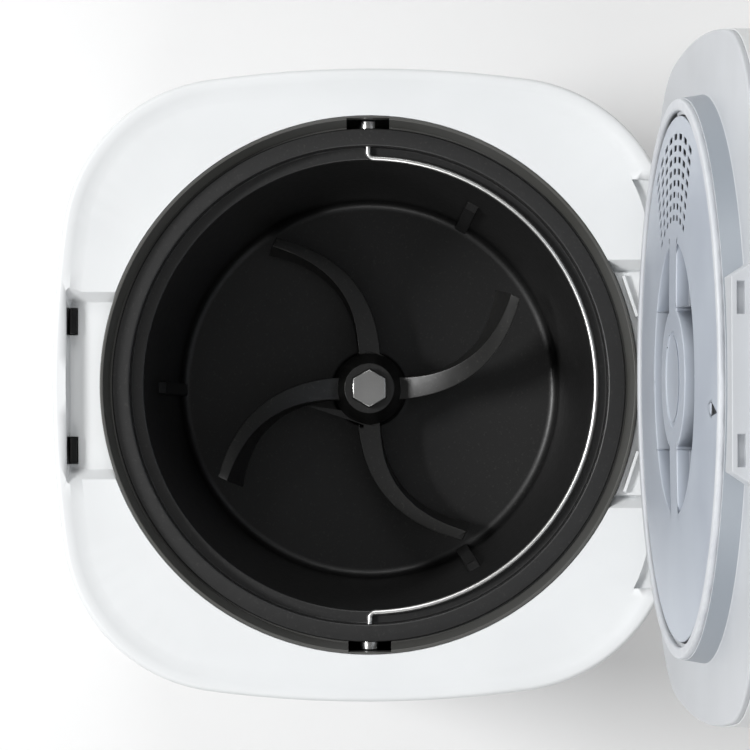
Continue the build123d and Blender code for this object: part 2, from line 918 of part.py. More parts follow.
def lid_switch():
    level = pocket_level - deck_wall
    return block((-9, 9), (rocker_y - 2.5, rocker_y + 3.5), (level - 4, level))


def lid_button():
    """The key on the front that frees the lid, kept in by a flange behind the wall."""
    half_h = lid_button_height / 2
    half = lid_button_half - 0.6
    z = (lid_button_level - half_h + 0.6, lid_button_level + half_h - 0.6)
    head = block((-half, half), (-body_half - 1.4, -body_half + 5.4), z)
    head = fillet(head.faces().sort_by(Axis.Y)[0].edges(), 1.2)
    head += block((-half - 2.4, half + 2.4), (-body_half + 3.8, -body_half + 5.6), (z[0] - 2, z[1] + 2))
    stem = (lid_button_level - 2.5, lid_button_level + 1.5)
    return head + block((-8, 8), (-body_half + 5, rocker_face() - play), stem)


def rocker_face():
    """Where the front of the rocker's lower arm stands."""
    return rocker_y - 2.0


def latch_hooks():
    """A steel rocker: a rod, a lower arm that the button pushes, and two barbed blades."""
    front = -latch_pocket_front + 0.4
    back = front + hook_blade
    rocker = rod_x(rocker_rod, -rocker_half, rocker_half, rocker_y, rocker_z)
    arm_z = (lid_button_level - 2, rocker_z)
    rocker += block((-rocker_arm, rocker_arm), (rocker_face(), rocker_face() + 1.5), arm_z)
    for side in (-1, 1):
        middle = side * slot_place
        x = (middle - hook_width / 2, middle + hook_width / 2)
        rocker += block(x, (front, rocker_y), (rocker_z - 0.8, rocker_z + 0.8))
        section = Polyline(
            (front, rocker_z - 0.8),
            (back, rocker_z - 0.8),
            (back, hook_catch),
            (back + hook_barb, hook_catch),
            (back + hook_barb, hook_catch + 0.6),
            (back, hook_top),
            (front, hook_top),
            close=True,
        )
        side_plane = Plane((x[0], 0, 0), x_dir=(0, 1, 0), z_dir=(1, 0, 0))
        rocker += extrude(side_plane * make_face(section), hook_width)
    return rocker


def latch_spring():
    """A leaf that hangs from the pit's floor and bears on the rocker's arm."""
    near = rocker_y + 1.2
    low = lid_button_level - 2
    top = pocket_level - deck_wall
    path = Polyline(
        (near + 5.5, top),
        (near + 2.2, top),
        (near + 2.2, low + 9),
        (near, low + 3),
        (near + 1.2, low),
        (near + 1.6, low + 0.3),
        (near + 0.5, low + 3),
        (near + 2.7, low + 9),
        (near + 2.7, top - 0.5),
        (near + 5.5, top - 0.5),
        close=True,
    )
    side_plane = Plane((11.5, 0, 0), x_dir=(0, 1, 0), z_dir=(1, 0, 0))
    return extrude(side_plane * make_face(path), 7)


# Hinge


def hinge_bracket():
    """Two ears stand in the rear pit and hold the pin."""
    low, high = pocket_level, pocket_level + 3
    out = hinge_pocket_half - 2
    plate = block((-out - 1, out + 1), (hinge_y - 7, hinge_pocket_back - 0.5), (low, high))
    for side in (-1, 1):
        x = sorted((side * out, side * (out - ear_width)))
        ear = block(x, (hinge_y - 4.6, hinge_y + 3.8), (low, hinge_z))
        plate += ear + rod_x(knuckle_radius, x[0], x[1], hinge_y, hinge_z)
    return plate - rod_x(pin_radius, -out - 1, out + 1, hinge_y, hinge_z)


def hinge_pin():
    out = hinge_pocket_half - 2
    return rod_x(pin_radius, -out, out, hinge_y, hinge_z)


def hinge_damper():
    """A rotary damper, held by the bracket, that slows the lid."""
    inner = hinge_pocket_half - 2 - ear_width - 2 * play - arm_width
    barrel = rod_x(knuckle_radius - 0.4, -inner + 1, inner - 1, hinge_y, hinge_z)
    barrel += block((-10, 10), (hinge_y - 3.5, hinge_y + 3), (pocket_level + 3, hinge_z))
    return barrel - rod_x(pin_radius, -inner, inner, hinge_y, hinge_z)


def hinge_cover():
    """A strip between the bezel and the bracket, with a rib each side along the bezel."""
    low = pocket_level
    half = hinge_pocket_half - 0.6
    strip = block((-half, half), (100, hinge_y - 7.4), (low, low + 2.5))
    for side in (-1, 1):
        rib = block((bezel_outer + 2.6, bezel_outer + 4.0), (-9.5, 9.5), (low, low + 5.4))
        strip += Rot(0, 0, 90 - side * 18.5) * rib
    return strip - post(bezel_outer + 0.6, low - 1, low + 9)


def lid_arms():
    """Two knuckles on the lid, joined by the leaf that runs into it."""
    out = hinge_pocket_half - 2 - ear_width - play
    leaf_low = recess_top + 2.05
    leaf = block((-out, out), (hinge_y - 30, hinge_y - 3), (leaf_low, leaf_low + 2.5))
    for side in (-1, 1):
        x = sorted((side * out, side * (out - arm_width)))
        leaf += block(x, (hinge_y - 6, hinge_y), (hinge_z, leaf_low + 2))
        leaf += rod_x(knuckle_radius, x[0], x[1], hinge_y, hinge_z)
    return leaf - rod_x(pin_radius + pin_fit, -out - 1, out + 1, hinge_y, hinge_z)


# Lid, drawn shut


def hinge_notch():
    half = hinge_pocket_half + 1
    return block((-half, half), (hinge_y - 8, body_half + 5), (lid_bottom - 1, hinge_z + 8))


def lid_shell():
    shell = slab(0, shell_bottom, lid_top)
    shell = fillet(level_edges(shell, lid_top), lid_round)
    hollow = slab(wall, shell_bottom - 1, lid_top - wall)
    shell -= fillet(level_edges(hollow, lid_top - wall), lid_round - wall)
    shell -= hinge_notch()
    for step in range(-7, 8):
        slit = block((-1.4, 1.4), (body_half - 10, body_half + 2), (hinge_z + 10.5, hinge_z + 17))
        shell -= Pos(7.5 * step) * slit
    return shell


def lid_liner():
    liner = slab(0.4, lid_bottom, shell_bottom)
    liner = chamfer(level_edges(liner, lid_bottom), 0.6)
    recess = cover_radius + cover_gap
    inner = recess - 4
    root = lid_bottom + 1
    liner += turned((inner, boss_face), (boss_radius, boss_face), (boss_foot, root), (inner, root))
    liner += post(recess + 2.2, lid_bottom + 0.5, recess_top + 2)
    liner -= post(recess, boss_face - 1, recess_top)
    liner -= post(fan_size * 0.36, recess_top - 1, recess_top + 3)
    liner += latch_block()
    liner -= tube(recess - 1, recess + lug_reach + 0.2, boss_face + 3.8, boss_face + 7.6)
    for index in range(lug_total):
        across = (cover_radius - 4, recess + lug_reach + 0.5)
        entry = block(across, (-12, 12), (boss_face - 1, boss_face + 5))
        liner -= Rot(0, 0, lug_start + lug_turn + lug_arc / 2 + 120 * index) * entry
    liner -= hinge_notch()
    groove = gasket_groove()
    return liner - tube(groove[0], groove[1], boss_face - 1, boss_face + 2.5)


def latch_block():
    """The tapered block that drops into the front pit: hollowed round the bezel, a window for each hook."""
    low = pocket_level + 1.5
    middle = block_depth / 2 - block_front
    root_half = block_half + block_flare * (lid_bottom + 1 - low)
    foot, root = Rectangle(2 * block_half, block_depth), Rectangle(2 * root_half, block_depth)
    shape = loft([Pos(0, middle, low) * foot, Pos(0, middle, lid_bottom + 1) * root], ruled=True)
    shape -= post(bezel_outer + 0.6, low - 1, deck_level + 0.8)
    shape -= post(cover_radius + 2, low - 1, lid_bottom + 3)
    for side in (-1, 1):
        x = (hook_slot(side)[0] - 0.2, hook_slot(side)[1] + 0.2)
        shape -= block(x, (-block_front - 1, -block_front + 2.4), (hook_catch - 0.6, hook_top - 0.2))
    return shape - post(4.2, lid_bottom - 5, lid_bottom + 5, 0, -magnet_place)


def gasket_groove():
    middle = (gasket_inner + gasket_outer) / 2
    return middle - 1.1, middle + 1.1


def lid_gasket():
    groove = gasket_groove()
    lip = tube(gasket_inner, gasket_outer, gasket_face, boss_face)
    lip = fillet(level_edges(lip, gasket_face), 1.0)
    return lip + tube(groove[0] + 0.05, groove[1] - 0.05, boss_face - 0.3, boss_face + 2.4)


def lid_magnet():
    return post(4, lid_bottom - 5, lid_bottom - 1, 0, -magnet_place)


def cover_dome(inset):
    """Height of the cover's lower face at its middle and edge, moved up by inset."""
    return cover_edge - cover_crown + inset, cover_edge + inset


def dome_plate():
    """The shallow dome that faces the bucket, as one turned arc."""
    middle, edge = cover_dome(0)
    half = cover_radius / 2
    sag = cover_crown / 4
    lower = ThreePointArc((0, middle), (half, middle + sag), (cover_radius, edge))
    upper_middle, upper_edge = cover_dome(cover_thick)
    upper = ThreePointArc((cover_radius, upper_edge), (half, upper_middle + sag), (0, upper_middle))
    sides = [Line((cover_radius, edge), (cover_radius, upper_edge)), Line((0, upper_middle), (0, middle))]
    return revolve(Plane.XZ * make_face(Wire([lower, sides[0], upper, sides[1]])), Axis.Z)


def grip_island(inset):
    """The hub and bar that stay level with the face, in plan."""
    bar = Rectangle(2 * grip_radius + 4, grip_bar - 2 * inset)
    return bar + Ellipse(grip_waist - inset, grip_hub - inset)


def filter_cover():
    middle, edge = cover_dome(0)
    top = middle + grip_depth
    cover = dome_plate()
    cover += tube(cover_radius - 2, cover_radius, edge, boss_face + 7.2)
    cup = post(grip_radius + 1.8, middle + 1, top + 1.8)
    cover += cup - post(grip_radius - 5, middle, top)
    island = extrude(Pos(0, 0, middle) * grip_island(0), grip_depth + 0.5)
    cover += island & post(grip_radius + 1, middle, top + 1)
    shallow = middle + grip_end_depth
    ends = post(grip_radius - 3, shallow, top + 0.5)
    cover += ends - block((-grip_waist, grip_waist), (-grip_radius, grip_radius), (middle, top + 2))
    pits = post(grip_radius, middle - 2, top)
    pits -= extrude(Pos(0, 0, middle - 3) * grip_island(0), grip_depth + 6)
    for side in (-1, 1):
        x = sorted((side * grip_waist, side * (grip_radius + 1)))
        pits -= block(x, (-grip_radius, grip_radius), (shallow, top + 1))
    cover -= pits
    hollow = extrude(Pos(0, 0, middle + cover_thick) * grip_island(1.8), grip_depth + 5)
    cover -= hollow & post(grip_radius - 0.2, middle, top + 3)
    cover -= post(dish_radius, middle - 1, middle + 0.7)
    cover += post(dish_radius + 1, middle + 0.7, middle + cover_thick + 0.6)
    for index in range(lug_total):
        low, high = boss_face + 4.2, boss_face + 7.2
        start = lug_start + 120 * index
        cover += turned_sector(cover_radius - 1, cover_radius + lug_reach, low, high, start, lug_arc)
    return cover - grille() - pointer()


def grille():
    """Rows of short slots on arcs about the cover's centre."""
    slots = []
    for row in range(slot_rows):
        radius = slot_outer - row * slot_pitch
        for column in range(-3, 5):
            start = 180 - column * slot_step - slot_angle / 2
            inner, outer = radius - slot_height / 2, radius + slot_height / 2
            low, high = cover_edge - cover_crown - 1, cover_edge + cover_thick + 1
            slots.append(turned_sector(inner, outer, low, high, start, slot_angle))
    return slots


def pointer():
    """A small arrow sunk in the face that shows the locked position."""
    tip = cover_radius - 4
    mark = Polyline((tip, 0), (tip - 12, 3), (tip - 12, -3), close=True)
    return Rot(0, 0, -82) * extrude(Pos(0, 0, cover_edge - 2) * make_face(mark), 2.4)


def filter_cartridge():
    low = cover_edge - cover_crown + grip_depth + 2.4
    drum = post(filter_radius, low, recess_top)
    drum = chamfer(level_edges(drum, low), 1.5)
    return drum


def fan_frame():
    low = recess_top + 2
    half = fan_size / 2
    frame = block((-half, half), (-half, half), (low, low + fan_thick))
    frame = fillet(frame.edges().filter_by(Axis.Z), 5)
    frame -= post(half - 2.5, low - 1, low + fan_thick + 1)
    frame += post(15, low + fan_thick - 2.5, low + fan_thick)
    for turn in (45, 165, 285):
        strut = block((10, half - 1), (-1.6, 1.6), (low + fan_thick - 2.5, low + fan_thick))
        frame += Rot(0, 0, turn) * strut
    frame += post(2.5, low + 6, low + fan_thick - 1)
    return frame


def fan_impeller():
    low = recess_top + 3
    high = low + fan_thick - 5
    hub = post(14, low, high)
    hub -= post(2.5 + 0.06, low + 4.5, high + 1)
    for index in range(7):
        sections = []
        for radius, pitch in ((12.5, 42), (fan_size / 2 - 4.5, 24)):
            chord = 12.0 if radius < 20 else 17.0
            plane = Plane((radius, 0, (low + high) / 2), x_dir=(0, 1, 0), z_dir=(1, 0, 0))
            sections.append(plane * Rot(0, 0, pitch) * Rectangle(chord, 1.3))
        hub += Rot(0, 0, index * 360 / 7) * loft(sections, ruled=True)
    return hub


# Bucket


def bucket():
    step = ledge_level - bucket_wall
    outside = [
        (0, bucket_bottom),
        (bucket_base_radius + bucket_wall - 5, bucket_bottom),
        (bucket_base_radius + bucket_wall, bucket_bottom + 5),
        (ledge_radius + bucket_wall, step - 1),
        (mouth_radius + bucket_wall, step),
        (mouth_radius + bucket_wall, well_flange),
        (flange_outer, well_flange),
        (flange_outer, flange_top),
    ]
    inside = [
        (mouth_radius, flange_top),
        (mouth_radius, ledge_level),
        (ledge_radius, ledge_level),
        (bucket_base_radius, inner_floor + 5),
        (bucket_base_radius - 5, inner_floor),
        (0, inner_floor),
    ]
    pot = turned(*outside, *inside)
    pot += post(20, bucket_bottom - 9, bucket_bottom + 1)
    mound = inner_floor - 1, inner_floor + 6
    pot += turned((0, mound[0]), (19, mound[0]), (14.5, mound[1]), (0, mound[1]))
    for index in range(rib_count):
        pot += Rot(0, 0, 30 + 120 * index) * wall_rib()
    for side in (-1, 1):
        x = sorted((side * (mouth_radius + 1), side * (flange_outer - 0.8)))
        low = pivot_level - pivot_radius - 1.6
        pot += block(x, (-key_half, key_half), (low, well_flange + 0.5))
        bore = sorted((side * (mouth_radius - 1), side * (flange_outer + 1)))
        seat = sorted((side * pivot_seat(), side * (flange_outer + 1)))
        pot -= rod_x(pivot_neck, bore[0], bore[1], 0, pivot_level)
        pot -= rod_x(pivot_radius, seat[0], seat[1], 0, pivot_level)
    pot -= post(shaft_radius + 1, inner_floor + 2, inner_floor + 7)
    return pot - post(bearing_outer(), bucket_bottom - 10, inner_floor + 3)


def wall_rib():
    """An upright rib on the bucket's inner wall that breaks up what the paddles push round."""
    low, high = inner_floor - 1, inner_floor + rib_height
    slope = (ledge_radius - bucket_base_radius) / (ledge_level - inner_floor - 5)
    top_radius = bucket_base_radius + slope * (rib_height - 5)
    section = Polyline(
        (bucket_base_radius - rib_reach, low),
        (top_radius - rib_reach, high - rib_reach),
        (top_radius + 1, high + 1),
        (bucket_base_radius + 1, inner_floor + 5),
        (bucket_base_radius - 2, low),
        close=True,
    )
    return Pos(0, 3, 0) * extrude(Plane.XZ * make_face(section), 6)


def bearing_outer():
    return shaft_radius + 4.5


def bucket_bearing():
    return tube(shaft_radius + shaft_fit, bearing_outer(), bucket_bottom - 9, inner_floor + 3)


def shaft_seal():
    low, bore = inner_floor + 6, shaft_radius + shaft_fit
    return turned((bore, low), (12.5, low), (12.5, low + 1), (8.5, low + 3), (bore, low + 3))


def pivot_seat():
    """Where the pivot's neck ends and its wider drum begins."""
    return mouth_radius + bucket_wall + 1.0


def bail_pivots():
    """Turned drums in the bucket's two keys, each bored for the bail's end."""
    group = []
    for side in (-1, 1):
        x = sorted((side * pivot_seat(), side * pivot_reach))
        neck = sorted((side * (mouth_radius + 0.1), side * (pivot_seat() + 1)))
        hole = sorted((side * mouth_radius, side * (mouth_radius + 6)))
        drum = rod_x(pivot_radius, x[0], x[1], 0, pivot_level)
        drum += rod_x(pivot_neck, neck[0], neck[1], 0, pivot_level)
        group.append(drum - rod_x(bail_wire + 0.06, hole[0], hole[1], 0, pivot_level))
    return Compound(children=group)


def bail_handle():
    """Round wire: a half ring with two ends bent outward into the pivots."""
    bend_x = math.sqrt((bail_radius + bail_elbow) ** 2 - bail_elbow**2)
    share = math.degrees(math.atan2(bail_elbow, bend_x))
    wire = Circle(bail_wire)
    start = Plane.XZ * (Pos(bail_radius, pivot_level) * wire)
    bow = revolve(Rot(0, 0, share) * start, Axis.Z, 180 - 2 * share)
    for side in (-1, 1):
        elbow_axis = Axis((side * bend_x, bail_elbow, pivot_level), (0, 0, 1))
        face = Pos(side * bend_x, 0, pivot_level) * Rot(0, 90, 0) * wire
        bow += revolve(face, elbow_axis, -side * (90 - share))
        x = sorted((side * bend_x, side * (mouth_radius + 5)))
        bow += rod_x(bail_wire, x[0], x[1], 0, pivot_level)
    return bow


# Agitator


def agitator_shaft():
    low = coupling_level() + 11.5
    top = inner_floor + hub_seat + hub_height + nut_height - 2.5
    shaft = post(shaft_radius, low, top)
    return chamfer(level_edges(shaft, top), 1.0)


def paddle(levels, heights, thicknesses, sweep, reach):
    """A curved, tapering blade lofted through three sections from the hub outward."""
    sections = []
    for index, radius in enumerate((hub_radius - 5, (hub_radius + reach) / 2, reach)):
        share = index / 2
        turn = sweep * share**1.4
        outward = polar(1, turn + 0.9 * sweep * share, 0)
        plane = Plane(polar(radius, turn, levels[index]), x_dir=(0, 0, 1), z_dir=outward)
        sections.append(plane * Rot(0, 0, 14 * share) * Rectangle(heights[index], thicknesses[index]))
    return loft(sections)


def agitator():
    low = inner_floor + hub_seat
    top = low + hub_height
    hub = turned((0, low), (hub_radius, low), (hub_radius, low + hub_height * 0.55), (12, top), (0, top))
    scraper = paddle((low + 10, low + 9, low + 9), (18, 16, 17), (11, 8, 5), paddle_sweep, paddle_reach)
    climb = (low + 14, low + 28, low + 48)
    breaker = paddle(climb, (20, 20, 30), (11, 8, 5), paddle_sweep, paddle_reach - 4)
    for turn in (0, 180):
        hub += Rot(0, 0, turn) * scraper
        hub += Rot(0, 0, turn + 90) * breaker
    return hub - post(shaft_radius, low - 1, top + 1)


def agitator_nut():
    low = inner_floor + hub_seat + hub_height
    nut = extrude(Pos(0, 0, low) * RegularPolygon(9.5, 6), nut_height)
    nut = fillet(level_edges(nut, low + nut_height), 1.2)
    return nut - post(shaft_radius, low - 1, low + nut_height - 2.5)


def swing_open(shape):
    """Turns a piece of the shut lid about the hinge line to where it stands open."""
    return shape.rotate(Axis((0, hinge_y, hinge_z), (1, 0, 0)), -lid_open)


base_pieces = [
    body_shell, base_pan, foot_ring, base_screws, top_deck, bezel_ring, chamber_well, well_screws,
    heater_band, heater_clamp, insulation_sleeve, temperature_sensor, gearbox_case, gearbox_cover,
    gearbox_screws, output_bearings, gear_axles, motor, motor_pinion, first_gear, second_gear,
    output_gear, output_shaft, drive_coupling, control_board, board_screws, touch_switch, button_ring,
    power_button, indicator_lenses, power_board, power_parts, power_inlet, inlet_pins, lid_switch,
    lid_button, latch_hooks, latch_spring, hinge_bracket, hinge_pin, hinge_damper, hinge_cover,
    bucket, bucket_bearing, shaft_seal, bail_pivots, bail_handle, agitator_shaft, agitator,
    agitator_nut, driven_coupling,
]
lid_pieces = [
    lid_shell, lid_liner, lid_gasket, lid_magnet, lid_arms, filter_cover, filter_cartridge, fan_frame,
    fan_impeller,
]

os.makedirs("parts", exist_ok=True)
for make in base_pieces:
    export_step(make(), f"parts/{make.__name__}.step")
for make in lid_pieces:
    export_step(swing_open(make()), f"parts/{make.__name__}.step")
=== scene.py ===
import bpy
import bmesh
import json
import math
from mathutils import Matrix, Vector
from mathutils.bvhtree import BVHTree


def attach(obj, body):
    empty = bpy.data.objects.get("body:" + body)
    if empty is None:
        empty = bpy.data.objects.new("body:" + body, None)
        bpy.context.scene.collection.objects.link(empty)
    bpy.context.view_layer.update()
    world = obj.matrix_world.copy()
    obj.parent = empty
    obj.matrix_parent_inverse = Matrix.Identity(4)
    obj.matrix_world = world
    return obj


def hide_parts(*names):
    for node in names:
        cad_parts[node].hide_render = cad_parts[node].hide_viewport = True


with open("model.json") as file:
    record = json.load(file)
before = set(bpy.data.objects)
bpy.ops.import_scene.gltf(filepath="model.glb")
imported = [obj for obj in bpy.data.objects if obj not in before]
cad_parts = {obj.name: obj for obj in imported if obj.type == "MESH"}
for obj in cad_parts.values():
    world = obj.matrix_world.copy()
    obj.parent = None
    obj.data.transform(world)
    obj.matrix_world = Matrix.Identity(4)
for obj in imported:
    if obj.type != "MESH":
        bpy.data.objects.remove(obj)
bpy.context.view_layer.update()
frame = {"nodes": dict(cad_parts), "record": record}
mm = 0.001
print("frame loaded:", len(frame["nodes"]), "nodes")


# the lid's swing, then the filter cover as drawn on the shut lid: millimetres and degrees, slots in metres
hinge = Vector((0, 132, 309)) * mm
openAngle = math.radians(94)
swing = Matrix.Translation(hinge) @ Matrix.Rotation(-openAngle, 4, "X") @ Matrix.Translation(-hinge)
plateLevel = 292.0
boss = dict(wallRadius=114.75, wallBand=0.85, wallTop=10.7)
cover = dict(
    radius=106.8, edge=293.4, middle=291.2, thick=2.2, skirtTop=302.0, skirtWall=2.0, lip=0.7, cupWall=1.8,
    gripRadius=55.6, deep=11.0, shallow=5.8, barHalf=9.5, hubAlong=32.3, hubAcross=28.6, draft=0.5,
    dishRadius=19.4, dishRing=17.2, ringDeep=0.75, bowlDeep=1.2, bowlRise=0.9,
    pointerTip=102.8, pointerLong=12.0, pointerHalf=3.0, pointerTurn=-82.0, edgeRound=0.45,
    # the last three values place the painted shade in the grip recesses: where it starts, where it is full,
    # and how far out, in millimetres
    recessShadeStart=0.4, recessShadeFull=8.5, recessShadeRadius=57.5,
)
slots = dict(
    rows=8, columns=8, firstRadius=98.4 * mm, rowPitch=4.7 * mm, firstAngle=math.radians(149.2),
    columnStep=math.radians(7.7), slotAngle=math.radians(5.2), slotWidth=2.6 * mm, level=0.293, depth=0.012,
)
lugs = dict(count=3, start=10.0, arc=10.0, reach=1.2, low=299.0, high=302.0)


# materials: sRGB hex in, one function to linear

def toLinear(code):
    values = [int(code[i:i + 2], 16) / 255 for i in (1, 3, 5)]
    return [v / 12.92 if v <= 0.04045 else ((v + 0.055) / 1.055) ** 2.4 for v in values] + [1.0]


def addNode(tree, kind, settings=None, **links):
    # settings are node properties; links are sockets by name or number, given a value or another socket
    node = tree.nodes.new(kind)
    for key, value in (settings or {}).items():
        setattr(node, key, value)
    for key, value in links.items():
        byNumber = key[0] == "i" and key[1:].isdigit()
        socket = node.inputs[int(key[1:]) if byNumber else key.replace("_", " ")]
        if isinstance(value, bpy.types.NodeSocket):
            tree.links.new(value, socket)
        else:
            socket.default_value = value
    return node


def newMaterial(name, **shader):
    material = bpy.data.materials.new(name)
    material.use_nodes = True
    tree = material.node_tree
    principled = tree.nodes["Principled BSDF"]
    for key, value in shader.items():
        principled.inputs[key.replace("_", " ")].default_value = value
    return material, tree, principled


def surfaceNoise(tree, size, detail=2.0, stretch=(1, 1, 1)):
    # size is the pattern's real spacing in millimetres
    place = addNode(tree, "ShaderNodeTexCoord")
    scale = [share * 1000 / size for share in stretch]
    scaled = addNode(tree, "ShaderNodeMapping", Vector=place.outputs["Object"], Scale=scale)
    return addNode(tree, "ShaderNodeTexNoise", Vector=scaled.outputs[0], Scale=1.0, Detail=detail,
                   Roughness=0.5)


def tintBy(tree, principled, factor, low, high, spread=(0.35, 0.65)):
    ramp = addNode(tree, "ShaderNodeValToRGB", Fac=factor)
    ramp.color_ramp.elements[0].position, ramp.color_ramp.elements[1].position = spread
    ramp.color_ramp.elements[0].color = toLinear(low)
    ramp.color_ramp.elements[1].color = toLinear(high)
    tree.links.new(ramp.outputs[0], principled.inputs["Base Color"])


def roughBy(tree, principled, factor, low, high):
    spread = addNode(tree, "ShaderNodeMapRange", Value=factor, To_Min=low, To_Max=high)
    tree.links.new(spread.outputs[0], principled.inputs["Roughness"])


def bumpBy(tree, principled, height, strength, depth):
    # depth in millimetres
    bump = addNode(tree, "ShaderNodeBump", Height=height, Strength=strength, Distance=depth * mm)
    tree.links.new(bump.outputs[0], principled.inputs["Normal"])


def mouldedPlastic(name, low, high, rough, grain=0.7, depth=0.02, ior=1.52):
    # moulded ABS or nylon: even colour, a fine spark-eroded grain that softens the highlights,
    # and a faint broad unevenness in the gloss; the grain is drawn coarser than life so it shows
    material, tree, principled = newMaterial(name, IOR=ior)
    fine = surfaceNoise(tree, grain, 3.0)
    broad = surfaceNoise(tree, 45.0, 2.0)
    tintBy(tree, principled, broad.outputs[0], low, high)
    roughBy(tree, principled, broad.outputs[0], rough - 0.04, rough + 0.05)
    bumpBy(tree, principled, fine.outputs[0], 0.35, depth)
    return material


def lidPlace(tree):
    # depth into the lid and distance from its centre line, in the lid's own frame and in metres
    place = addNode(tree, "ShaderNodeTexCoord")
    centre = swing @ Vector((0, 0, plateLevel * mm))
    shift = addNode(tree, "ShaderNodeVectorMath", {"operation": "SUBTRACT"}, i0=place.outputs["Object"],
                    i1=centre)
    flat = addNode(tree, "ShaderNodeVectorRotate", {"rotation_type": "X_AXIS"}, Vector=shift.outputs[0],
                   Angle=openAngle)
    across = addNode(tree, "ShaderNodeVectorMath", {"operation": "MULTIPLY"}, i0=flat.outputs[0],
                     i1=(1, 1, 0))
    radius = addNode(tree, "ShaderNodeVectorMath", {"operation": "LENGTH"}, i0=across.outputs[0])
    height = addNode(tree, "ShaderNodeSeparateXYZ", Vector=flat.outputs[0])
    return height.outputs["Z"], radius.outputs["Value"]


def lidPlate(name, low, high, paintedShadeLow, paintedShadeHigh):
    # pale satin ABS; the wall round the raised disc gets a darker grey, which is painted shade for that
    # wall's shadowed look
    material = mouldedPlastic(name, low, high, 0.42)
    tree = material.node_tree
    principled = tree.nodes["Principled BSDF"]
    pale = principled.inputs["Base Color"].links[0].from_socket
    height, radius = lidPlace(tree)
    inside = addNode(tree, "ShaderNodeMath", {"operation": "COMPARE"}, i0=radius, i1=boss["wallRadius"] * mm,
                     i2=boss["wallBand"] * mm)
    below = addNode(tree, "ShaderNodeMath", {"operation": "LESS_THAN"}, i0=height, i1=boss["wallTop"] * mm)
    wall = addNode(tree, "ShaderNodeMath", {"operation": "MULTIPLY"}, i0=inside.outputs[0],
                   i1=below.outputs[0])
    broad = surfaceNoise(tree, 60.0, 2.0)
    side = addNode(tree, "ShaderNodeValToRGB", Fac=broad.outputs[0])
    side.color_ramp.elements[0].color = toLinear(paintedShadeLow)
    side.color_ramp.elements[1].color = toLinear(paintedShadeHigh)
    # painted shade: the wall round the disc is mixed towards the darker grey
    mix = addNode(tree, "ShaderNodeMix", {"data_type": "RGBA"}, i0=wall.outputs[0], i6=pale,
                  i7=side.outputs[0])
    tree.links.new(mix.outputs[2], principled.inputs["Base Color"])
    return material


def coverPlate(name, low, high, paintedRecessShade, paintedSlotShade):
    # satin ABS disc: painted shade darkens its grip recesses with depth, and painted shade makes its slots'
    # walls nearly black
    material = mouldedPlastic(name, low, high, 0.36, 0.5, 0.01)
    tree = material.node_tree
    principled = tree.nodes["Principled BSDF"]
    face = principled.inputs["Base Color"].links[0].from_socket
    curve = (cover["edge"] - cover["middle"]) / cover["radius"] ** 2 / mm
    start, grip = cover["recessShadeStart"] * mm, cover["recessShadeRadius"] * mm
    height, radius = lidPlace(tree)
    square = addNode(tree, "ShaderNodeMath", {"operation": "MULTIPLY"}, i0=radius, i1=radius)
    dome = addNode(tree, "ShaderNodeMath", {"operation": "MULTIPLY_ADD"}, i0=square.outputs[0], i1=curve,
                   i2=(cover["middle"] - plateLevel) * mm)
    depth = addNode(tree, "ShaderNodeMath", {"operation": "SUBTRACT"}, i0=height, i1=dome.outputs[0])
    # painted shade: darker the deeper a point lies below the dome's face, within the grip
    shadeByDepth = addNode(tree, "ShaderNodeMapRange", Value=depth.outputs[0], From_Min=start,
                     From_Max=cover["recessShadeFull"] * mm)
    inGrip = addNode(tree, "ShaderNodeMath", {"operation": "LESS_THAN"}, i0=radius, i1=grip)
    pit = addNode(tree, "ShaderNodeMath", {"operation": "MULTIPLY"}, i0=shadeByDepth.outputs[0],
                  i1=inGrip.outputs[0])
    # painted shade: slot walls below the face, outside the grip, go nearly black
    under = addNode(tree, "ShaderNodeMath", {"operation": "GREATER_THAN"}, i0=depth.outputs[0], i1=start)
    outside = addNode(tree, "ShaderNodeMath", {"operation": "GREATER_THAN"}, i0=radius, i1=grip)
    slotShadeMask = addNode(tree, "ShaderNodeMath", {"operation": "MULTIPLY"}, i0=under.outputs[0],
                   i1=outside.outputs[0])
    gripShadeMix = addNode(tree, "ShaderNodeMix", {"data_type": "RGBA"}, i0=pit.outputs[0], i6=face,
                      i7=toLinear(paintedRecessShade))
    slotShadeMix = addNode(tree, "ShaderNodeMix", {"data_type": "RGBA"}, i0=slotShadeMask.outputs[0], i6=gripShadeMix.outputs[2],
                      i7=toLinear(paintedSlotShade))
    tree.links.new(slotShadeMix.outputs[2], principled.inputs["Base Color"])
    return material


def metalSurface(name, low, high, rough, grain, stretch=(1, 1, 1), metallic=1.0, depth=0.01):
    # ground or drawn metal: streaks along the way it was worked change its gloss more than its colour
    material, tree, principled = newMaterial(name, Metallic=metallic)
    streak = surfaceNoise(tree, grain, 3.0, stretch)
    broad = surfaceNoise(tree, 18.0, 2.0)
    tintBy(tree, principled, broad.outputs[0], low, high)
    roughBy(tree, principled, streak.outputs[0], rough * 0.7, rough * 1.35)
    bumpBy(tree, principled, streak.outputs[0], 0.25, depth)
    return material


def castCoating(name, low, high, rough, speck=1.1, depth=0.05):
    # ceramic non-stick coat sprayed on cast aluminium: near black, orange-peel skin, tiny pale specks
    material, tree, principled = newMaterial(name, IOR=1.55, Coat_Weight=0.15, Coat_Roughness=0.25)
    peel = surfaceNoise(tree, speck * 2.4, 2.0)
    dots = surfaceNoise(tree, speck, 1.0)
    tintBy(tree, principled, dots.outputs[0], low, high, (0.62, 0.76))
    roughBy(tree, principled, peel.outputs[0], rough - 0.06, rough + 0.08)
    bumpBy(tree, principled, peel.outputs[0], 0.3, depth)
    return material


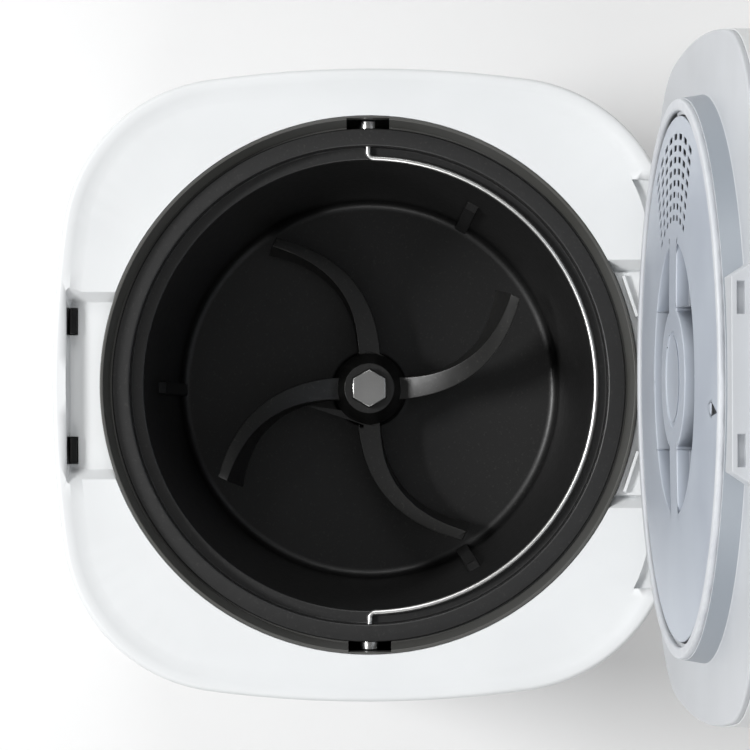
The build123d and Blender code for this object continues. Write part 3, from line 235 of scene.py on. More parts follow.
def softRubber(name, low, high, rough, sheen=0.0):
    # moulded rubber or silicone: dull, a little dust in its pores, no sharp highlight
    material, tree, principled = newMaterial(name, IOR=1.43, Sheen_Weight=sheen, Sheen_Roughness=0.4)
    pores = surfaceNoise(tree, 0.6, 2.0)
    broad = surfaceNoise(tree, 14.0, 2.0)
    tintBy(tree, principled, broad.outputs[0], low, high)
    roughBy(tree, principled, pores.outputs[0], rough - 0.08, rough + 0.08)
    bumpBy(tree, principled, pores.outputs[0], 0.3, 0.02)
    return material


def feltSurface(name, low, high):
    # needled felt: short crossing fibres, fully dull
    material, tree, principled = newMaterial(name, Roughness=0.95, Sheen_Weight=0.3, Sheen_Roughness=0.6)
    along = surfaceNoise(tree, 1.0, 3.0, (1, 6, 1))
    across = surfaceNoise(tree, 1.0, 3.0, (6, 1, 1))
    both = addNode(tree, "ShaderNodeMath", {"operation": "MAXIMUM"}, i0=along.outputs[0],
                   i1=across.outputs[0])
    tintBy(tree, principled, both.outputs[0], low, high, (0.45, 0.7))
    bumpBy(tree, principled, both.outputs[0], 0.8, 0.3)
    return material


def circuitBoard(name):
    # glass-epoxy board under green solder mask, its copper tracks, about 4 mm apart, paler through the mask
    material, tree, principled = newMaterial(name, IOR=1.55, Roughness=0.35)
    place = addNode(tree, "ShaderNodeTexCoord")
    tracksPerMetre = 260
    scaled = addNode(tree, "ShaderNodeMapping", Vector=place.outputs["Object"], Scale=[tracksPerMetre] * 3)
    cells = {"distance": "MANHATTAN", "feature": "F1"}
    tracks = addNode(tree, "ShaderNodeTexVoronoi", cells, Vector=scaled.outputs[0], Scale=1.0)
    tintBy(tree, principled, tracks.outputs[0], "#1d5c34", "#0d3a20", (0.35, 0.42))
    bumpBy(tree, principled, tracks.outputs[0], 0.2, 0.03)
    return material


# each maker takes a name, and all but the board's then take the darkest and the palest tint
materials = {
    "absWhite": mouldedPlastic("absWhiteMoulded", "#e5e7e8", "#e8eaeb", 0.42),
    "absDeck": mouldedPlastic("absWhiteDeck", "#e4e6e7", "#e7e9ea", 0.45),
    # the lid plate's last two tints are painted shade on the wall round its disc
    "absLid": lidPlate("absLidPlate", "#c3c6ca", "#c9ccd0", "#9299a1", "#9ba2aa"),
    "absPan": mouldedPlastic("polypropylenePan", "#85888b", "#8e9194", 0.6, 0.9, 0.03),
    # the cover's last two tints are painted shade, in its grip recesses and on its slot walls
    "absCover": coverPlate("absCoverSatin", "#b7bec9", "#bec5cf", "#4f555f", "#202226"),
    "absButton": mouldedPlastic("absButtonSatin", "#b4b7ba", "#babdc0", 0.35, 0.5, 0.01),
    "nylonBezel": mouldedPlastic("nylonBezelGlassFilled", "#4a4a47", "#525250", 0.4, 0.6, 0.02),
    "nylonHousing": mouldedPlastic("nylonHousingBlack", "#222426", "#2a2c2e", 0.5, 0.8, 0.03),
    "plasticBlack": mouldedPlastic("polycarbonateBlack", "#161617", "#1c1c1d", 0.4, 0.6, 0.02),
    "nylonGear": mouldedPlastic("acetalNatural", "#e2dcc8", "#e9e4d2", 0.35),
    "lensClear": mouldedPlastic("polycarbonateFrosted", "#dfe8df", "#e6eee6", 0.3),
    "coating": castCoating("ceramicCoatBlack", "#151515", "#2c2b2a", 0.46),
    "castPaddle": castCoating("ceramicCoatPaddle", "#232322", "#3c3b39", 0.4, 1.4, 0.08),
    "steelWire": metalSurface("stainlessWireSatin", "#e4e4e2", "#eeeeec", 0.34, 0.6),
    "steelTurned": metalSurface("stainlessTurned", "#b9b9b8", "#c6c6c5", 0.25, 0.3, (8, 1, 1)),
    "steelGround": metalSurface("steelGround", "#a5a6a8", "#b2b3b5", 0.3, 0.4, (1, 1, 6)),
    "steelZinc": metalSurface("steelZincPlated", "#a9abac", "#bcbcb8", 0.34, 0.9),
    "steelSintered": metalSurface("steelSintered", "#6b6965", "#7b7975", 0.5, 0.5),
    "aluminiumDrawn": metalSurface("aluminiumDrawn", "#a4a6a8", "#b2b4b6", 0.36, 0.5, (1, 1, 7)),
    "aluminiumCast": metalSurface("aluminiumCast", "#9a9b9c", "#a9aaab", 0.5, 1.2, (1, 1, 1), 1.0, 0.05),
    "bronze": metalSurface("bronzeSintered", "#a9764a", "#b78858", 0.45, 0.5),
    "steelBlack": metalSurface("steelBlackOxide", "#1d1c1c", "#2b2a2a", 0.4, 0.6, (1, 1, 1), 0.6),
    "brass": metalSurface("brassPin", "#b9974f", "#c7a55c", 0.25, 0.5),
    "nickel": metalSurface("nickelPlated", "#b9b6ae", "#c6c3bb", 0.2, 0.8),
    "chromeTrim": metalSurface("chromePlatedTrim", "#c9cbcc", "#d3d5d6", 0.12, 0.8),
    "powderCoat": mouldedPlastic("powderCoatGrey", "#c3c5c7", "#cbcdcf", 0.5, 1.1, 0.05),
    "siliconeSeal": softRubber("siliconeSealGrey", "#cfd2d7", "#d6d9dd", 0.5),
    "siliconeHeater": softRubber("siliconeHeaterOrange", "#a5451f", "#b65026", 0.6),
    "rubberBlack": softRubber("rubberBlack", "#18191a", "#232425", 0.7, 0.15),
    "feltCarbon": feltSurface("feltCarbon", "#1a1b1c", "#37383a"),
    "feltWool": feltSurface("feltInsulation", "#bdb8ab", "#d8d4c8"),
    "board": circuitBoard("circuitBoardGreen"),
}
print("materials made:", len(materials))


# CAD nodes: each gets its real material; a merged copy with even normals stands for it

nodeLooks = {
    "body_shell": ("bodyMoulding", "absWhite"), "base_pan": ("basePan", "absPan"),
    "foot_ring": ("ringFoot", "rubberBlack"), "base_screws": ("baseScrews", "steelZinc"),
    "top_deck": ("deckMoulding", "absDeck"), "bezel_ring": ("bezelRing", "nylonBezel"),
    "chamber_well": ("chamberWell", "aluminiumDrawn"), "well_screws": ("wellScrews", "steelZinc"),
    "heater_band": ("heaterBand", "siliconeHeater"), "heater_clamp": ("heaterClamp", "steelGround"),
    "insulation_sleeve": ("insulationSleeve", "feltWool"),
    "temperature_sensor": ("temperatureProbe", "steelGround"),
    "gearbox_case": ("gearCase", "nylonHousing"), "gearbox_cover": ("gearCaseCover", "nylonHousing"),
    "gearbox_screws": ("gearCaseScrews", "steelZinc"), "output_bearings": ("outputBearings", "bronze"),
    "gear_axles": ("gearAxles", "steelGround"), "motor": ("motorCan", "steelZinc"),
    "motor_pinion": ("motorPinion", "steelSintered"), "first_gear": ("firstGear", "nylonGear"),
    "second_gear": ("secondGear", "steelSintered"), "output_gear": ("outputGear", "steelSintered"),
    "output_shaft": ("outputShaft", "steelGround"), "drive_coupling": ("driveCoupling", "aluminiumCast"),
    "control_board": ("controlBoard", "board"), "board_screws": ("boardScrews", "steelZinc"),
    "touch_switch": ("touchSwitch", "plasticBlack"), "button_ring": ("buttonRing", "chromeTrim"),
    "power_button": ("powerButton", "absButton"), "indicator_lenses": ("indicatorLenses", "lensClear"),
    "power_board": ("powerBoard", "board"), "power_parts": ("powerParts", "plasticBlack"),
    "power_inlet": ("powerInlet", "plasticBlack"), "inlet_pins": ("inletPins", "brass"),
    "lid_switch": ("lidSwitch", "plasticBlack"), "hinge_bracket": ("hingeBracket", "powderCoat"),
    "hinge_pin": ("hingePin", "steelGround"), "hinge_damper": ("hingeDamper", "plasticBlack"),
    "hinge_cover": ("hingeCover", "absDeck"), "bucket": ("bucketPot", "coating"),
    "bucket_bearing": ("bucketBearing", "bronze"), "shaft_seal": ("shaftSeal", "rubberBlack"),
    "bail_pivots": ("bailPivots", "steelTurned"), "bail_handle": ("bailWire", "steelWire"),
    "agitator_shaft": ("agitatorShaft", "steelGround"), "agitator": ("agitatorPaddles", "castPaddle"),
    "agitator_nut": ("agitatorNut", "steelTurned"), "driven_coupling": ("drivenCoupling", "aluminiumCast"),
    "lid_shell": ("lidShell", "absWhite"), "lid_liner": ("lidLiner", "absLid"),
    "lid_gasket": ("lidGasket", "siliconeSeal"), "lid_magnet": ("lidMagnet", "nickel"),
    "lid_arms": ("lidArms", "powderCoat"), "lid_button": ("lidButton", "absButton"),
    "latch_hooks": ("latchHooks", "steelBlack"), "latch_spring": ("latchSpring", "steelGround"),
    "filter_cover": ("filterCover", "absCover"), "filter_cartridge": ("filterCartridge", "feltCarbon"),
    "fan_frame": ("fanFrame", "plasticBlack"), "fan_impeller": ("fanImpeller", "plasticBlack"),
}
bodies = frame["record"]["behaviour"]["bodies"]
bodyOf = {node: body for body, members in bodies.items() for node in members}


def setMaterial(thing, material):
    thing.data.materials.clear()
    thing.data.materials.append(material)


def bakedMesh(thing, name):
    # the evaluated result as a plain mesh, with the live modifiers gone
    bpy.context.view_layer.update()
    graph = bpy.context.evaluated_depsgraph_get()
    shaped = thing.evaluated_get(graph)
    mesh = bpy.data.meshes.new_from_object(shaped, preserve_all_data_layers=True, depsgraph=graph)
    mesh.name = name
    return mesh


def newObject(name, mesh):
    thing = bpy.data.objects.new(name, mesh)
    bpy.context.scene.collection.objects.link(thing)
    return thing


def evenNormals(thing, angle=32):
    # smooth over moulded curves, sharp at edges, flats kept flat by area weight
    thing.data.shade_smooth()
    thing.data.set_sharp_from_angle(angle=math.radians(angle))
    weighted = thing.modifiers.new("evenNormals", "WEIGHTED_NORMAL")
    weighted.keep_sharp = True
    weighted.weight = 90
    mesh = bakedMesh(thing, thing.name)
    thing.modifiers.clear()
    thing.data = mesh


def mergedCopy(node, name):
    # the node's loose triangles joined along their shared edges, in a new object
    mesh = frame["nodes"][node].data.copy()
    mesh.name = name
    work = bmesh.new()
    work.from_mesh(mesh)
    bmesh.ops.remove_doubles(work, verts=work.verts, dist=0.003 * mm)
    work.to_mesh(mesh)
    work.free()
    return newObject(name, mesh)


def weighEdges(thing, angle, within):
    # only sharp edges whose middle lies inside the (low, high) box, in millimetres, are rounded
    work = bmesh.new()
    work.from_mesh(thing.data)
    weight = work.edges.layers.float.new("bevel_weight_edge")
    for edge in work.edges:
        middle = (edge.verts[0].co + edge.verts[1].co) / 2 / mm
        inside = all(low < value < high for low, value, high in zip(within[0], middle, within[1]))
        if inside and len(edge.link_faces) == 2 and edge.calc_face_angle() > math.radians(angle):
            edge[weight] = 1.0
    work.to_mesh(thing.data)
    work.free()


def eased(thing, width, angle=35, segments=2, within=None, stray=0.55):
    # a small round along every sharp edge, as moulded or deburred edges have; where a corner is too tight
    # for it, a point that strays by more than that share of the width goes back to the old surface
    corners = [vertex.co for vertex in thing.data.vertices]
    before = BVHTree.FromPolygons(corners, [face.vertices for face in thing.data.polygons])
    edge = thing.modifiers.new("easedEdges", "BEVEL")
    edge.width, edge.segments = width * mm, segments
    edge.limit_method, edge.angle_limit = "ANGLE", math.radians(angle)
    edge.use_clamp_overlap = False
    if within:
        edge.limit_method = "WEIGHT"
        weighEdges(thing, angle, within)
    mesh = bakedMesh(thing, thing.name)
    thing.modifiers.clear()
    thing.data = mesh
    for vertex in mesh.vertices:
        spot, _, _, gap = before.find_nearest(vertex.co)
        if gap > stray * width * mm:
            vertex.co = spot


def dress(thing, body, material, *nodes):
    setMaterial(thing, materials[material])
    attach(thing, body)
    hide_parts(*nodes)


handMade = {"filter_cover", "bucket", "bezel_ring"}
# the width of the round on each piece's edges, in millimetres; the deck's are only those round its two pits
edgeRounds = {
    "hinge_bracket": 0.4, "lid_arms": 0.4, "lid_liner": 0.35, "body_shell": 0.3, "lid_shell": 0.3,
    "hinge_cover": 0.3, "bail_pivots": 0.2, "agitator": 0.5, "top_deck": 0.35,
}
roundedWithin = {"top_deck": ((-125, -131, 292.8), (125, 131, 301))}


def carryOver():
    for node, (name, material) in nodeLooks.items():
        setMaterial(frame["nodes"][node], materials[material])
        if node in handMade:
            continue
        piece = mergedCopy(node, name)
        if node in edgeRounds:
            eased(piece, edgeRounds[node], within=roundedWithin.get(node))
        evenNormals(piece)
        dress(piece, bodyOf[node], material, node)


carryOver()
print("CAD nodes dressed")


# geometry trees

def newTree(name, **sockets):
    # a tree with a geometry input and named inputs of the given kinds
    tree = bpy.data.node_groups.new(name, "GeometryNodeTree")
    tree.interface.new_socket("Geometry", in_out="INPUT", socket_type="NodeSocketGeometry")
    for label, kind in sockets.items():
        tree.interface.new_socket(label, in_out="INPUT", socket_type="NodeSocket" + kind)
    tree.interface.new_socket("Geometry", in_out="OUTPUT", socket_type="NodeSocketGeometry")
    return tree, addNode(tree, "NodeGroupInput").outputs


def endTree(tree, given, geometry):
    # every tree ends real and painted
    solid = addNode(tree, "GeometryNodeRealizeInstances", Geometry=geometry)
    painted = addNode(tree, "GeometryNodeSetMaterial", Geometry=solid.outputs[0], Material=given["Material"])
    addNode(tree, "NodeGroupOutput", i0=painted.outputs[0])


def grown(name, tree, mesh, material, **values):
    # runs a tree over a mesh with its inputs set by identifier, and keeps the plain result
    thing = newObject(name, mesh)
    run = thing.modifiers.new(name, "NODES")
    run.node_group = tree
    values["Material"] = materials[material]
    for socket in tree.interface.items_tree:
        if socket.in_out == "INPUT" and socket.name in values:
            run[socket.identifier] = values[socket.name]
    baked = bakedMesh(thing, name)
    thing.modifiers.clear()
    thing.data = baked
    return thing


def turnedTree():
    # a closed profile drawn as (radius, -height) swept about the Z axis, along a circle too small to show
    tree, given = newTree("turned", Material="Material", segments="Int")
    profile = addNode(tree, "GeometryNodeMeshToCurve", Mesh=given["Geometry"])
    tiny, merge = 0.00001, 0.00003
    rail = addNode(tree, "GeometryNodeCurvePrimitiveCircle", Resolution=given["segments"], Radius=tiny)
    swept = addNode(tree, "GeometryNodeCurveToMesh", Curve=rail.outputs[0])
    tree.links.new(profile.outputs[0], swept.inputs["Profile Curve"])
    joined = addNode(tree, "GeometryNodeMergeByDistance", Geometry=swept.outputs[0], Distance=merge)
    endTree(tree, given, joined.outputs[0])
    return tree


def slotRowsTree():
    # rows of round-ended slots on arcs about Z, cut through whatever comes in
    tree, given = newTree("slotRows", Material="Material", rows="Int", columns="Int", firstRadius="Float",
                          rowPitch="Float", firstAngle="Float", columnStep="Float", slotAngle="Float",
                          slotWidth="Float", level="Float", depth="Float")
    index = addNode(tree, "GeometryNodeInputIndex").outputs[0]
    total = addNode(tree, "ShaderNodeMath", {"operation": "MULTIPLY"}, i0=given["rows"], i1=given["columns"])
    share = addNode(tree, "ShaderNodeMath", {"operation": "DIVIDE"}, i0=index, i1=given["columns"])
    row = addNode(tree, "ShaderNodeMath", {"operation": "FLOOR"}, i0=share.outputs[0])
    column = addNode(tree, "ShaderNodeMath", {"operation": "MODULO"}, i0=index, i1=given["columns"])
    inward = addNode(tree, "ShaderNodeMath", {"operation": "MULTIPLY"}, i0=row.outputs[0],
                     i1=given["rowPitch"])
    radius = addNode(tree, "ShaderNodeMath", {"operation": "SUBTRACT"}, i0=given["firstRadius"],
                     i1=inward.outputs[0])
    angle = addNode(tree, "ShaderNodeMath", {"operation": "MULTIPLY_ADD"}, i0=column.outputs[0],
                    i1=given["columnStep"], i2=given["firstAngle"])
    turn = addNode(tree, "ShaderNodeCombineXYZ", Z=angle.outputs[0])
    out = addNode(tree, "ShaderNodeCombineXYZ", X=radius.outputs[0], Z=given["level"])
    spot = addNode(tree, "ShaderNodeVectorRotate", {"rotation_type": "Z_AXIS"}, Vector=out.outputs[0],
                   Angle=angle.outputs[0])
    points = addNode(tree, "GeometryNodePoints", Count=total.outputs[0], Position=spot.outputs[0])
    facing = addNode(tree, "FunctionNodeEulerToRotation", Euler=turn.outputs[0])
    arc = addNode(tree, "ShaderNodeMath", {"operation": "MULTIPLY"}, i0=radius.outputs[0],
                  i1=given["slotAngle"])
    length = addNode(tree, "ShaderNodeMath", {"operation": "SUBTRACT"}, i0=arc.outputs[0],
                     i1=given["slotWidth"])
    size = addNode(tree, "ShaderNodeCombineXYZ", X=given["slotWidth"], Y=length.outputs[0], Z=given["depth"])
    bar = addNode(tree, "GeometryNodeMeshCube")
    bars = addNode(tree, "GeometryNodeInstanceOnPoints", Points=points.outputs[0], Instance=bar.outputs[0],
                   Rotation=facing.outputs[0], Scale=size.outputs[0])
    half = addNode(tree, "ShaderNodeMath", {"operation": "MULTIPLY"}, i0=given["slotWidth"], i1=0.499)
    pin = addNode(tree, "GeometryNodeMeshCylinder", Vertices=20, Radius=half.outputs[0], Depth=given["depth"])
    pins = addNode(tree, "GeometryNodeInstanceOnPoints", Points=points.outputs[0], Instance=pin.outputs[0],
                   Rotation=facing.outputs[0])
    cutting = addNode(tree, "GeometryNodeMeshBoolean", {"operation": "DIFFERENCE", "solver": "EXACT"})
    tree.links.new(given["Geometry"], cutting.inputs["Mesh 1"])
    solid = addNode(tree, "GeometryNodeRealizeInstances", Geometry=bars.outputs[0])
    tree.links.new(solid.outputs[0], cutting.inputs["Mesh 2"])
    for side in (-0.5, 0.5):
        shift = addNode(tree, "ShaderNodeMath", {"operation": "MULTIPLY"}, i0=length.outputs[0], i1=side)
        away = addNode(tree, "ShaderNodeCombineXYZ", Y=shift.outputs[0])
        moved = addNode(tree, "GeometryNodeTranslateInstances", Instances=pins.outputs[0],
                        Translation=away.outputs[0])
        moved.inputs["Local Space"].default_value = True
        solid = addNode(tree, "GeometryNodeRealizeInstances", Geometry=moved.outputs[0])
        tree.links.new(solid.outputs[0], cutting.inputs["Mesh 2"])
    endTree(tree, given, cutting.outputs[0])
    return tree


def meshFrom(name, points, faces=(), edges=()):
    # points in millimetres
    mesh = bpy.data.meshes.new(name)
    mesh.from_pydata([Vector(point) * mm for point in points], edges, faces)
    mesh.update()
    return mesh


def turnedPiece(name, profile, material, segments=180):
    count = len(profile)
    joins = [(i, (i + 1) % count) for i in range(count)]
    outline = meshFrom(name, [(r, -z, 0) for r, z in profile], edges=joins)
    piece = grown(name, turned, outline, material, segments=segments)
    outward(piece)
    return piece


def outward(thing):
    # doubles merged first, then every face turned to the outside
    work = bmesh.new()
    work.from_mesh(thing.data)
    bmesh.ops.remove_doubles(work, verts=work.verts, dist=0.002 * mm)
    bmesh.ops.recalc_face_normals(work, faces=work.faces)
    work.to_mesh(thing.data)
    work.free()


def prism(name, low, high, bottom, top):
    # between two outlines with the same number of points
    count = len(low)
    points = [(x, y, bottom) for x, y in low] + [(x, y, top) for x, y in high]
    sides = [(i, (i + 1) % count, count + (i + 1) % count, count + i) for i in range(count)]
    caps = [tuple(range(count)), tuple(range(count, 2 * count))]
    thing = newObject(name, meshFrom(name, points, caps + sides))
    outward(thing)
    return thing


def cut(thing, tool, operation="DIFFERENCE"):
    change = thing.modifiers.new("cut", "BOOLEAN")
    change.object, change.operation, change.solver = tool, operation, "EXACT"
    mesh = bakedMesh(thing, thing.name)
    thing.modifiers.clear()
    thing.data = mesh
    bpy.data.objects.remove(tool)


def arcPoints(centre, radius, start, end, count=6):
    # from one angle to the other, in degrees
    turns = [math.radians(start + (end - start) * i / (count - 1)) for i in range(count)]
    return [(centre[0] + radius * math.cos(turn), centre[1] + radius * math.sin(turn)) for turn in turns]


def rectangle(near, far, half):
    return [(near, -half), (far, -half), (far, half), (near, half)]


turned = turnedTree()
slotRows = slotRowsTree()


# filter cover, drawn on the shut lid and then swung open

def domeHeight(radius):
    share = radius / cover["radius"]
    return cover["middle"] + (cover["edge"] - cover["middle"]) * share * share


def coverProfile():
    rim, thick, lip = cover["radius"], cover["thick"], cover["lip"]
    inner = rim - cover["skirtWall"]
    cup = cover["gripRadius"] + cover["cupWall"]
    cupTop = cover["middle"] + cover["deep"] + cover["cupWall"]
    face = [(r, domeHeight(r)) for r in (0, 12, 24, 36, 48, 60, 72, 84, 94, 101, rim - lip)]
    start = domeHeight(rim) - 0.02
    turns = (0.4, 0.8, 1.2, 1.57)
    rounded = [(rim - lip * (1 - math.sin(turn)), start + lip * (1 - math.cos(turn))) for turn in turns]
    back = [(rim, cover["skirtTop"]), (inner, cover["skirtTop"]), (inner, domeHeight(inner) + thick)]
    back += [(cup, domeHeight(cup) + thick), (cup, cupTop)]
    return face + rounded + back + [(0, cupTop)]


def pitOutline(inset, reach):
    # a crescent between the bar and hub and the grip's round wall, out to |x| = reach
    radius, bar = cover["gripRadius"] - inset, cover["barHalf"] + inset
    along, across = cover["hubAlong"] + inset, cover["hubAcross"] + inset
    reach = min(reach, math.sqrt(radius ** 2 - bar ** 2))
    end = math.degrees(math.acos(reach / radius))
    outer = arcPoints((0, 0), radius, end, 180 - end, 65)
    waist = math.degrees(math.asin(bar / along))
    hub = [(x * across, y * along) for x, y in arcPoints((0, 0), 1, 180 - waist, waist, 33)]
    return outer + [(-reach, bar)] + hub + [(reach, bar)]


def cutGrip(piece):
    # two crescents, each shallow at its ends and deep beside the hub
    bottom = cover["middle"] - 3
    for depth, reach in (("shallow", cover["radius"]), ("deep", cover["hubAcross"])):
        top = cover["middle"] + cover[depth]
        for side in (1, -1):
            outlines = [pitOutline(inset, reach) for inset in (0.0, cover["draft"])]
            low, high = ([(x, side * y) for x, y in outline] for outline in outlines)
            cut(piece, prism("pit", low, high, bottom, top))


def cutDish(piece):
    # a shallow bowl with a narrow ring sunk round it
    ring, inner, level = cover["dishRadius"], cover["dishRing"], cover["middle"]
    deep, rise, steps = level + cover["bowlDeep"], cover["bowlRise"], 6
    bowl = [(inner * i / steps, deep - rise * (i / steps) ** 2) for i in range(steps, -1, -1)]
    sunk = level + cover["ringDeep"]
    profile = [(0, level - 3), (ring, level - 3), (ring - 0.1, sunk), (inner + 0.5, sunk)]
    profile += [(inner + 0.2, level + 0.15)]
    cut(piece, turnedPiece("dish", profile + bowl, "absCover", 120))


def cutPointer(piece):
    tip, half = cover["pointerTip"], cover["pointerHalf"]
    mark = [(tip, 0), (tip - cover["pointerLong"], half), (tip - cover["pointerLong"], -half)]
    turn = Matrix.Rotation(math.radians(cover["pointerTurn"]), 2)
    mark = [tuple(turn @ Vector(point)) for point in mark]
    cut(piece, prism("pointer", mark, mark, cover["edge"] - 4, cover["edge"] + 0.4))


def addLugs(piece):
    centre, arc, overlap = (0, 0), lugs["arc"], 1
    for index in range(lugs["count"]):
        start = lugs["start"] + 360 / lugs["count"] * index
        inner = arcPoints(centre, cover["radius"] - overlap, start + arc, start, 8)
        sector = arcPoints(centre, cover["radius"] + lugs["reach"], start, start + arc, 8) + inner
        cut(piece, prism("lug", sector, sector, lugs["low"], lugs["high"] - 0.01), "UNION")


def makeCover():
    piece = turnedPiece("filterCover", coverProfile(), "absCover")
    cutGrip(piece)
    cutDish(piece)
    cutPointer(piece)
    addLugs(piece)
    eased(piece, cover["edgeRound"], 30, 3)
    outward(piece)
    mesh = piece.data
    bpy.data.objects.remove(piece)
    piece = grown("filterCover", slotRows, mesh, "absCover", **slots)
    outward(piece)
    piece.data.transform(swing)
    evenNormals(piece, 30)
    dress(piece, "filter_cover", "absCover", "filter_cover")


makeCover()
print("filter cover made")


# bucket and bezel, turned about Z with their edges rounded

bucket = dict(
    low=115.0, skirt=20.0, bore=10.5, seat=130.0, neck=7.0, mound=133.0, moundTop=14.5, moundFoot=19.0,
    base=124.0, floor=127.0, wall=1.8, baseRadius=92.0, ledgeRadius=100.6, ledge=283.0, mouth=106.3,
    flangeOut=114.2, flangeLow=290.0, flangeTop=292.0, mouthRound=1.0, rimRound=0.6, floorRound=5.0,
    footRound=5.0, smallRound=0.6, ledgeRound=0.9, ribs=3, ribStart=30.0, ribReach=3.6, ribHigh=96.0,
    ribHalf=3.0, pivotLevel=285.4, pivotRadius=4.3, neckRadius=2.3, keyHalf=8.8, keyLow=279.5, keyOut=113.7,
    seatAt=109.1,
)
bezel = dict(
    low=290.0, foot=114.3, footHigh=0.4, inner=115.1, outer=119.1, high=300.4, lip=1.2, round=0.4,
    notchHalf=9.5, notchIn=111.9, notchOut=118.2,
)


def bucketProfile():
    # from the bore up the outside, over the flange, down the inside and over the floor's mound
    b = bucket
    small, foot, base, ledge = b["smallRound"], b["footRound"], b["baseRadius"], b["ledge"]
    out, shoulder, step = base + b["wall"], b["mouth"] + b["wall"], ledge - b["wall"]
    outside = [(b["bore"], b["low"]), (b["skirt"] - small, b["low"]), (b["skirt"], b["low"] + small)]
    outside += [(b["skirt"], b["base"])] + arcPoints((out - foot, b["base"] + foot), foot, -90, -3, 8)
    outside += [(b["ledgeRadius"] + b["wall"], step - 1), (shoulder, step), (shoulder, b["flangeLow"])]
    outside += [(b["flangeOut"] - 0.3, b["flangeLow"]), (b["flangeOut"], b["flangeLow"] + 0.3)]
    rim, lip, ease, floor = b["rimRound"], b["mouthRound"], b["ledgeRound"], b["floorRound"]
    outside += arcPoints((b["flangeOut"] - rim, b["flangeTop"] - rim), rim, 0, 90)
    inside = arcPoints((b["mouth"] + lip, b["flangeTop"] - lip), lip, 90, 180)
    inside += arcPoints((b["mouth"] - small, ledge + small), small, 0, -90, 4)
    inside += arcPoints((b["ledgeRadius"] + ease, ledge - ease), ease, 90, 177, 5)
    inside += arcPoints((base - floor, b["floor"] + floor), floor, -2, -90, 8)
    inside += [(b["moundFoot"] + 1.5, b["floor"]), (b["moundFoot"] - 0.6, b["floor"] + 0.7)]
    inside += [(b["moundTop"] + 0.5, b["mound"] - 0.7), (b["moundTop"] - 0.4, b["mound"])]
    inside += [(b["neck"] + 0.5, b["mound"]), (b["neck"], b["mound"] - 0.5)]
    return outside + inside + [(b["neck"], b["seat"]), (b["bore"], b["seat"])]


def quarterTurn(thing, axis, turn=0.0):
    # about X it stands a flat outline up, about Y it lays a rod drawn along Z out along X; then round Z
    quarter = Matrix.Rotation(math.radians(90), 4, axis)
    thing.data.transform(Matrix.Rotation(math.radians(turn), 4, "Z") @ quarter)


def addRibs(pot):
    # three ribs up the wall, which lean out with it
    b = bucket
    base, floor, reach = b["baseRadius"], b["floor"], b["ribReach"]
    slope = (b["ledgeRadius"] - base) / (b["ledge"] - floor - b["floorRound"])
    top = base + slope * (b["ribHigh"] - b["floorRound"])
    high = floor + b["ribHigh"]
    side = [(base - reach, floor - 1), (top - reach, high - reach), (top + 1, high + 1)]
    side += [(base + 1, floor + b["floorRound"]), (base - 2, floor - 1)]
    for index in range(b["ribs"]):
        rib = prism("rib", side, side, -b["ribHalf"], b["ribHalf"])
        eased(rib, 0.8, 35, 3)
        quarterTurn(rib, "X", b["ribStart"] + 360 / b["ribs"] * index)
        cut(pot, rib, "UNION")


def addPivotSeats(pot):
    # a block under the flange on each side, bored in two steps for the bail's pivot
    b = bucket
    outline = rectangle(b["mouth"] + 1, b["keyOut"], b["keyHalf"])
    lift = Matrix.Translation((0, 0, b["pivotLevel"] * mm))
    for turn in (0, 180):
        around = Matrix.Rotation(math.radians(turn), 4, "Z")
        block = prism("key", outline, outline, b["keyLow"], b["flangeLow"] + 0.5)
        eased(block, 0.5)
        block.data.transform(around)
        cut(pot, block, "UNION")
        for radius, start in ((b["neckRadius"], b["mouth"] - 1), (b["pivotRadius"], b["seatAt"])):
            ring = arcPoints((0, 0), radius, 0, 350, 36)
            bore = prism("bore", ring, ring, start, b["flangeOut"] + 1)
            quarterTurn(bore, "Y")
            bore.data.transform(around @ lift)
            cut(pot, bore)


def makeBucket():
    pot = turnedPiece("bucketPot", bucketProfile(), "coating", 240)
    addRibs(pot)
    addPivotSeats(pot)
    outward(pot)
    evenNormals(pot, 30)
    dress(pot, "bucket", "coating", "bucket")


def makeBezel():
    z = bezel
    top, out, r = z["high"], z["outer"], z["round"]
    footTop = z["low"] + z["footHigh"]
    profile = [(z["foot"], z["low"]), (out, z["low"])] + arcPoints((out - r, top - r), r, 0, 90)
    profile += arcPoints((out - z["lip"] + 0.1, top - r), r, 90, 155, 5)
    profile += [(z["inner"], z["low"] + 1.4), (z["inner"], footTop), (z["foot"], footTop)]
    ring = turnedPiece("bezelRing", profile, "nylonBezel", 240)
    outline = rectangle(z["notchIn"], z["notchOut"], z["notchHalf"])
    for turn in (0, 180):
        notch = prism("notch", outline, outline, z["low"] - 1, top + 1)
        notch.data.transform(Matrix.Rotation(math.radians(turn), 4, "Z"))
        cut(ring, notch)
    outward(ring)
    evenNormals(ring, 30)
    dress(ring, "base", "nylonBezel", "bezel_ring")


makeBucket()
makeBezel()
print("bucket and bezel made")


# floor, light and camera

studio = dict(
    floorHalf=6.0, floorColour="#f0f0f0", floorGlow=0.06, worldStrength=0.27,
    sidePlace=(1.9, -0.25, 1.9), sideAim=(0, 0, 0.25), sideSize=1.2, sidePower=15.0,
    frontPlace=(-0.1, -1.35, 1.75), frontAim=(0, 0.13, 0.44), frontSize=0.5, frontPower=27.0,
)
# place in millimetres, tilt in radians about each axis, imageHalf and focal in pixels of a 750 pixel square
lens = dict(
    place=(22.55, 2.66, 2031.04), tilt=(0.0, -0.0155, 0.0036), imageHalf=375, focal=3912.455, sensor=36.0,
)


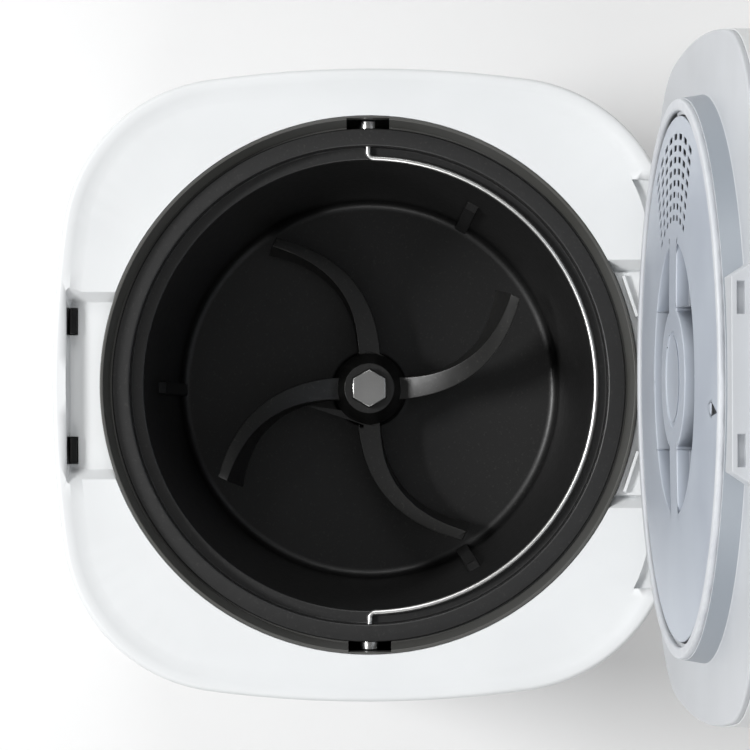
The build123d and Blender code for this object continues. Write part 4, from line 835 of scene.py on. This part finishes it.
def makeFloor():
    # matt and white; its faint glow is seen by the camera and in reflections, and lights nothing
    mesh = bpy.data.meshes.new("floor")
    work = bmesh.new()
    bmesh.ops.create_grid(work, x_segments=1, y_segments=1, size=studio["floorHalf"])
    work.to_mesh(mesh)
    work.free()
    floor = newObject("floor", mesh)
    material, tree, principled = newMaterial("floorPaper", Roughness=0.9)
    principled.inputs["Base Color"].default_value = toLinear(studio["floorColour"])
    seen = addNode(tree, "ShaderNodeLightPath")
    either = addNode(tree, "ShaderNodeMath", {"operation": "MAXIMUM"}, i0=seen.outputs["Is Camera Ray"],
                     i1=seen.outputs["Is Glossy Ray"])
    glow = addNode(tree, "ShaderNodeEmission", Color=(1, 1, 1, 1))
    strength = addNode(tree, "ShaderNodeMath", {"operation": "MULTIPLY"}, i0=either.outputs[0],
                       i1=studio["floorGlow"])
    tree.links.new(strength.outputs[0], glow.inputs["Strength"])
    both = addNode(tree, "ShaderNodeAddShader", i0=principled.outputs[0], i1=glow.outputs[0])
    tree.links.new(both.outputs[0], tree.nodes["Material Output"].inputs["Surface"])
    floor.data.materials.append(material)


def makeLight(name, place, target, size, power):
    lamp = bpy.data.lights.new(name, "AREA")
    lamp.shape, lamp.size, lamp.energy = "DISK", size, power
    thing = bpy.data.objects.new(name, lamp)
    bpy.context.scene.collection.objects.link(thing)
    thing.location = place
    thing.rotation_mode = "QUATERNION"
    thing.rotation_quaternion = (Vector(target) - Vector(place)).to_track_quat("-Z", "Y")


def makeWorld():
    world = bpy.data.worlds.new("studioWorld")
    bpy.context.scene.world = world
    world.use_nodes = True
    background = world.node_tree.nodes["Background"]
    background.inputs["Color"].default_value = (1, 1, 1, 1)
    background.inputs["Strength"].default_value = studio["worldStrength"]


def makeCamera():
    camera = bpy.data.objects.new("camera", bpy.data.cameras.new("camera"))
    bpy.context.scene.collection.objects.link(camera)
    camera.data.sensor_width = lens["sensor"]
    camera.data.lens = lens["sensor"] / 2 * lens["focal"] / lens["imageHalf"]
    camera.data.clip_start, camera.data.clip_end = 0.05, 30
    straight = Matrix(((0, 1, 0), (-1, 0, 0), (0, 0, 1)))  # world to camera: down, with +Y to the right
    turn = [Matrix.Rotation(angle, 3, axis) for angle, axis in zip(lens["tilt"], "XYZ")]
    rows = straight @ turn[0] @ turn[1] @ turn[2]
    camera.rotation_mode = "QUATERNION"
    camera.rotation_quaternion = rows.transposed().to_quaternion()
    camera.location = Vector(lens["place"]) * mm
    bpy.context.scene.camera = camera


makeFloor()
away, forward, up = studio["sidePlace"]
for side, name in ((-1, "leftLight"), (1, "rightLight")):
    makeLight(name, (away * side, forward, up), studio["sideAim"], studio["sideSize"], studio["sidePower"])
makeLight("frontLight", studio["frontPlace"], studio["frontAim"], studio["frontSize"], studio["frontPower"])
makeWorld()
makeCamera()
bpy.context.scene.view_settings.view_transform = "Standard"
print("stage set")
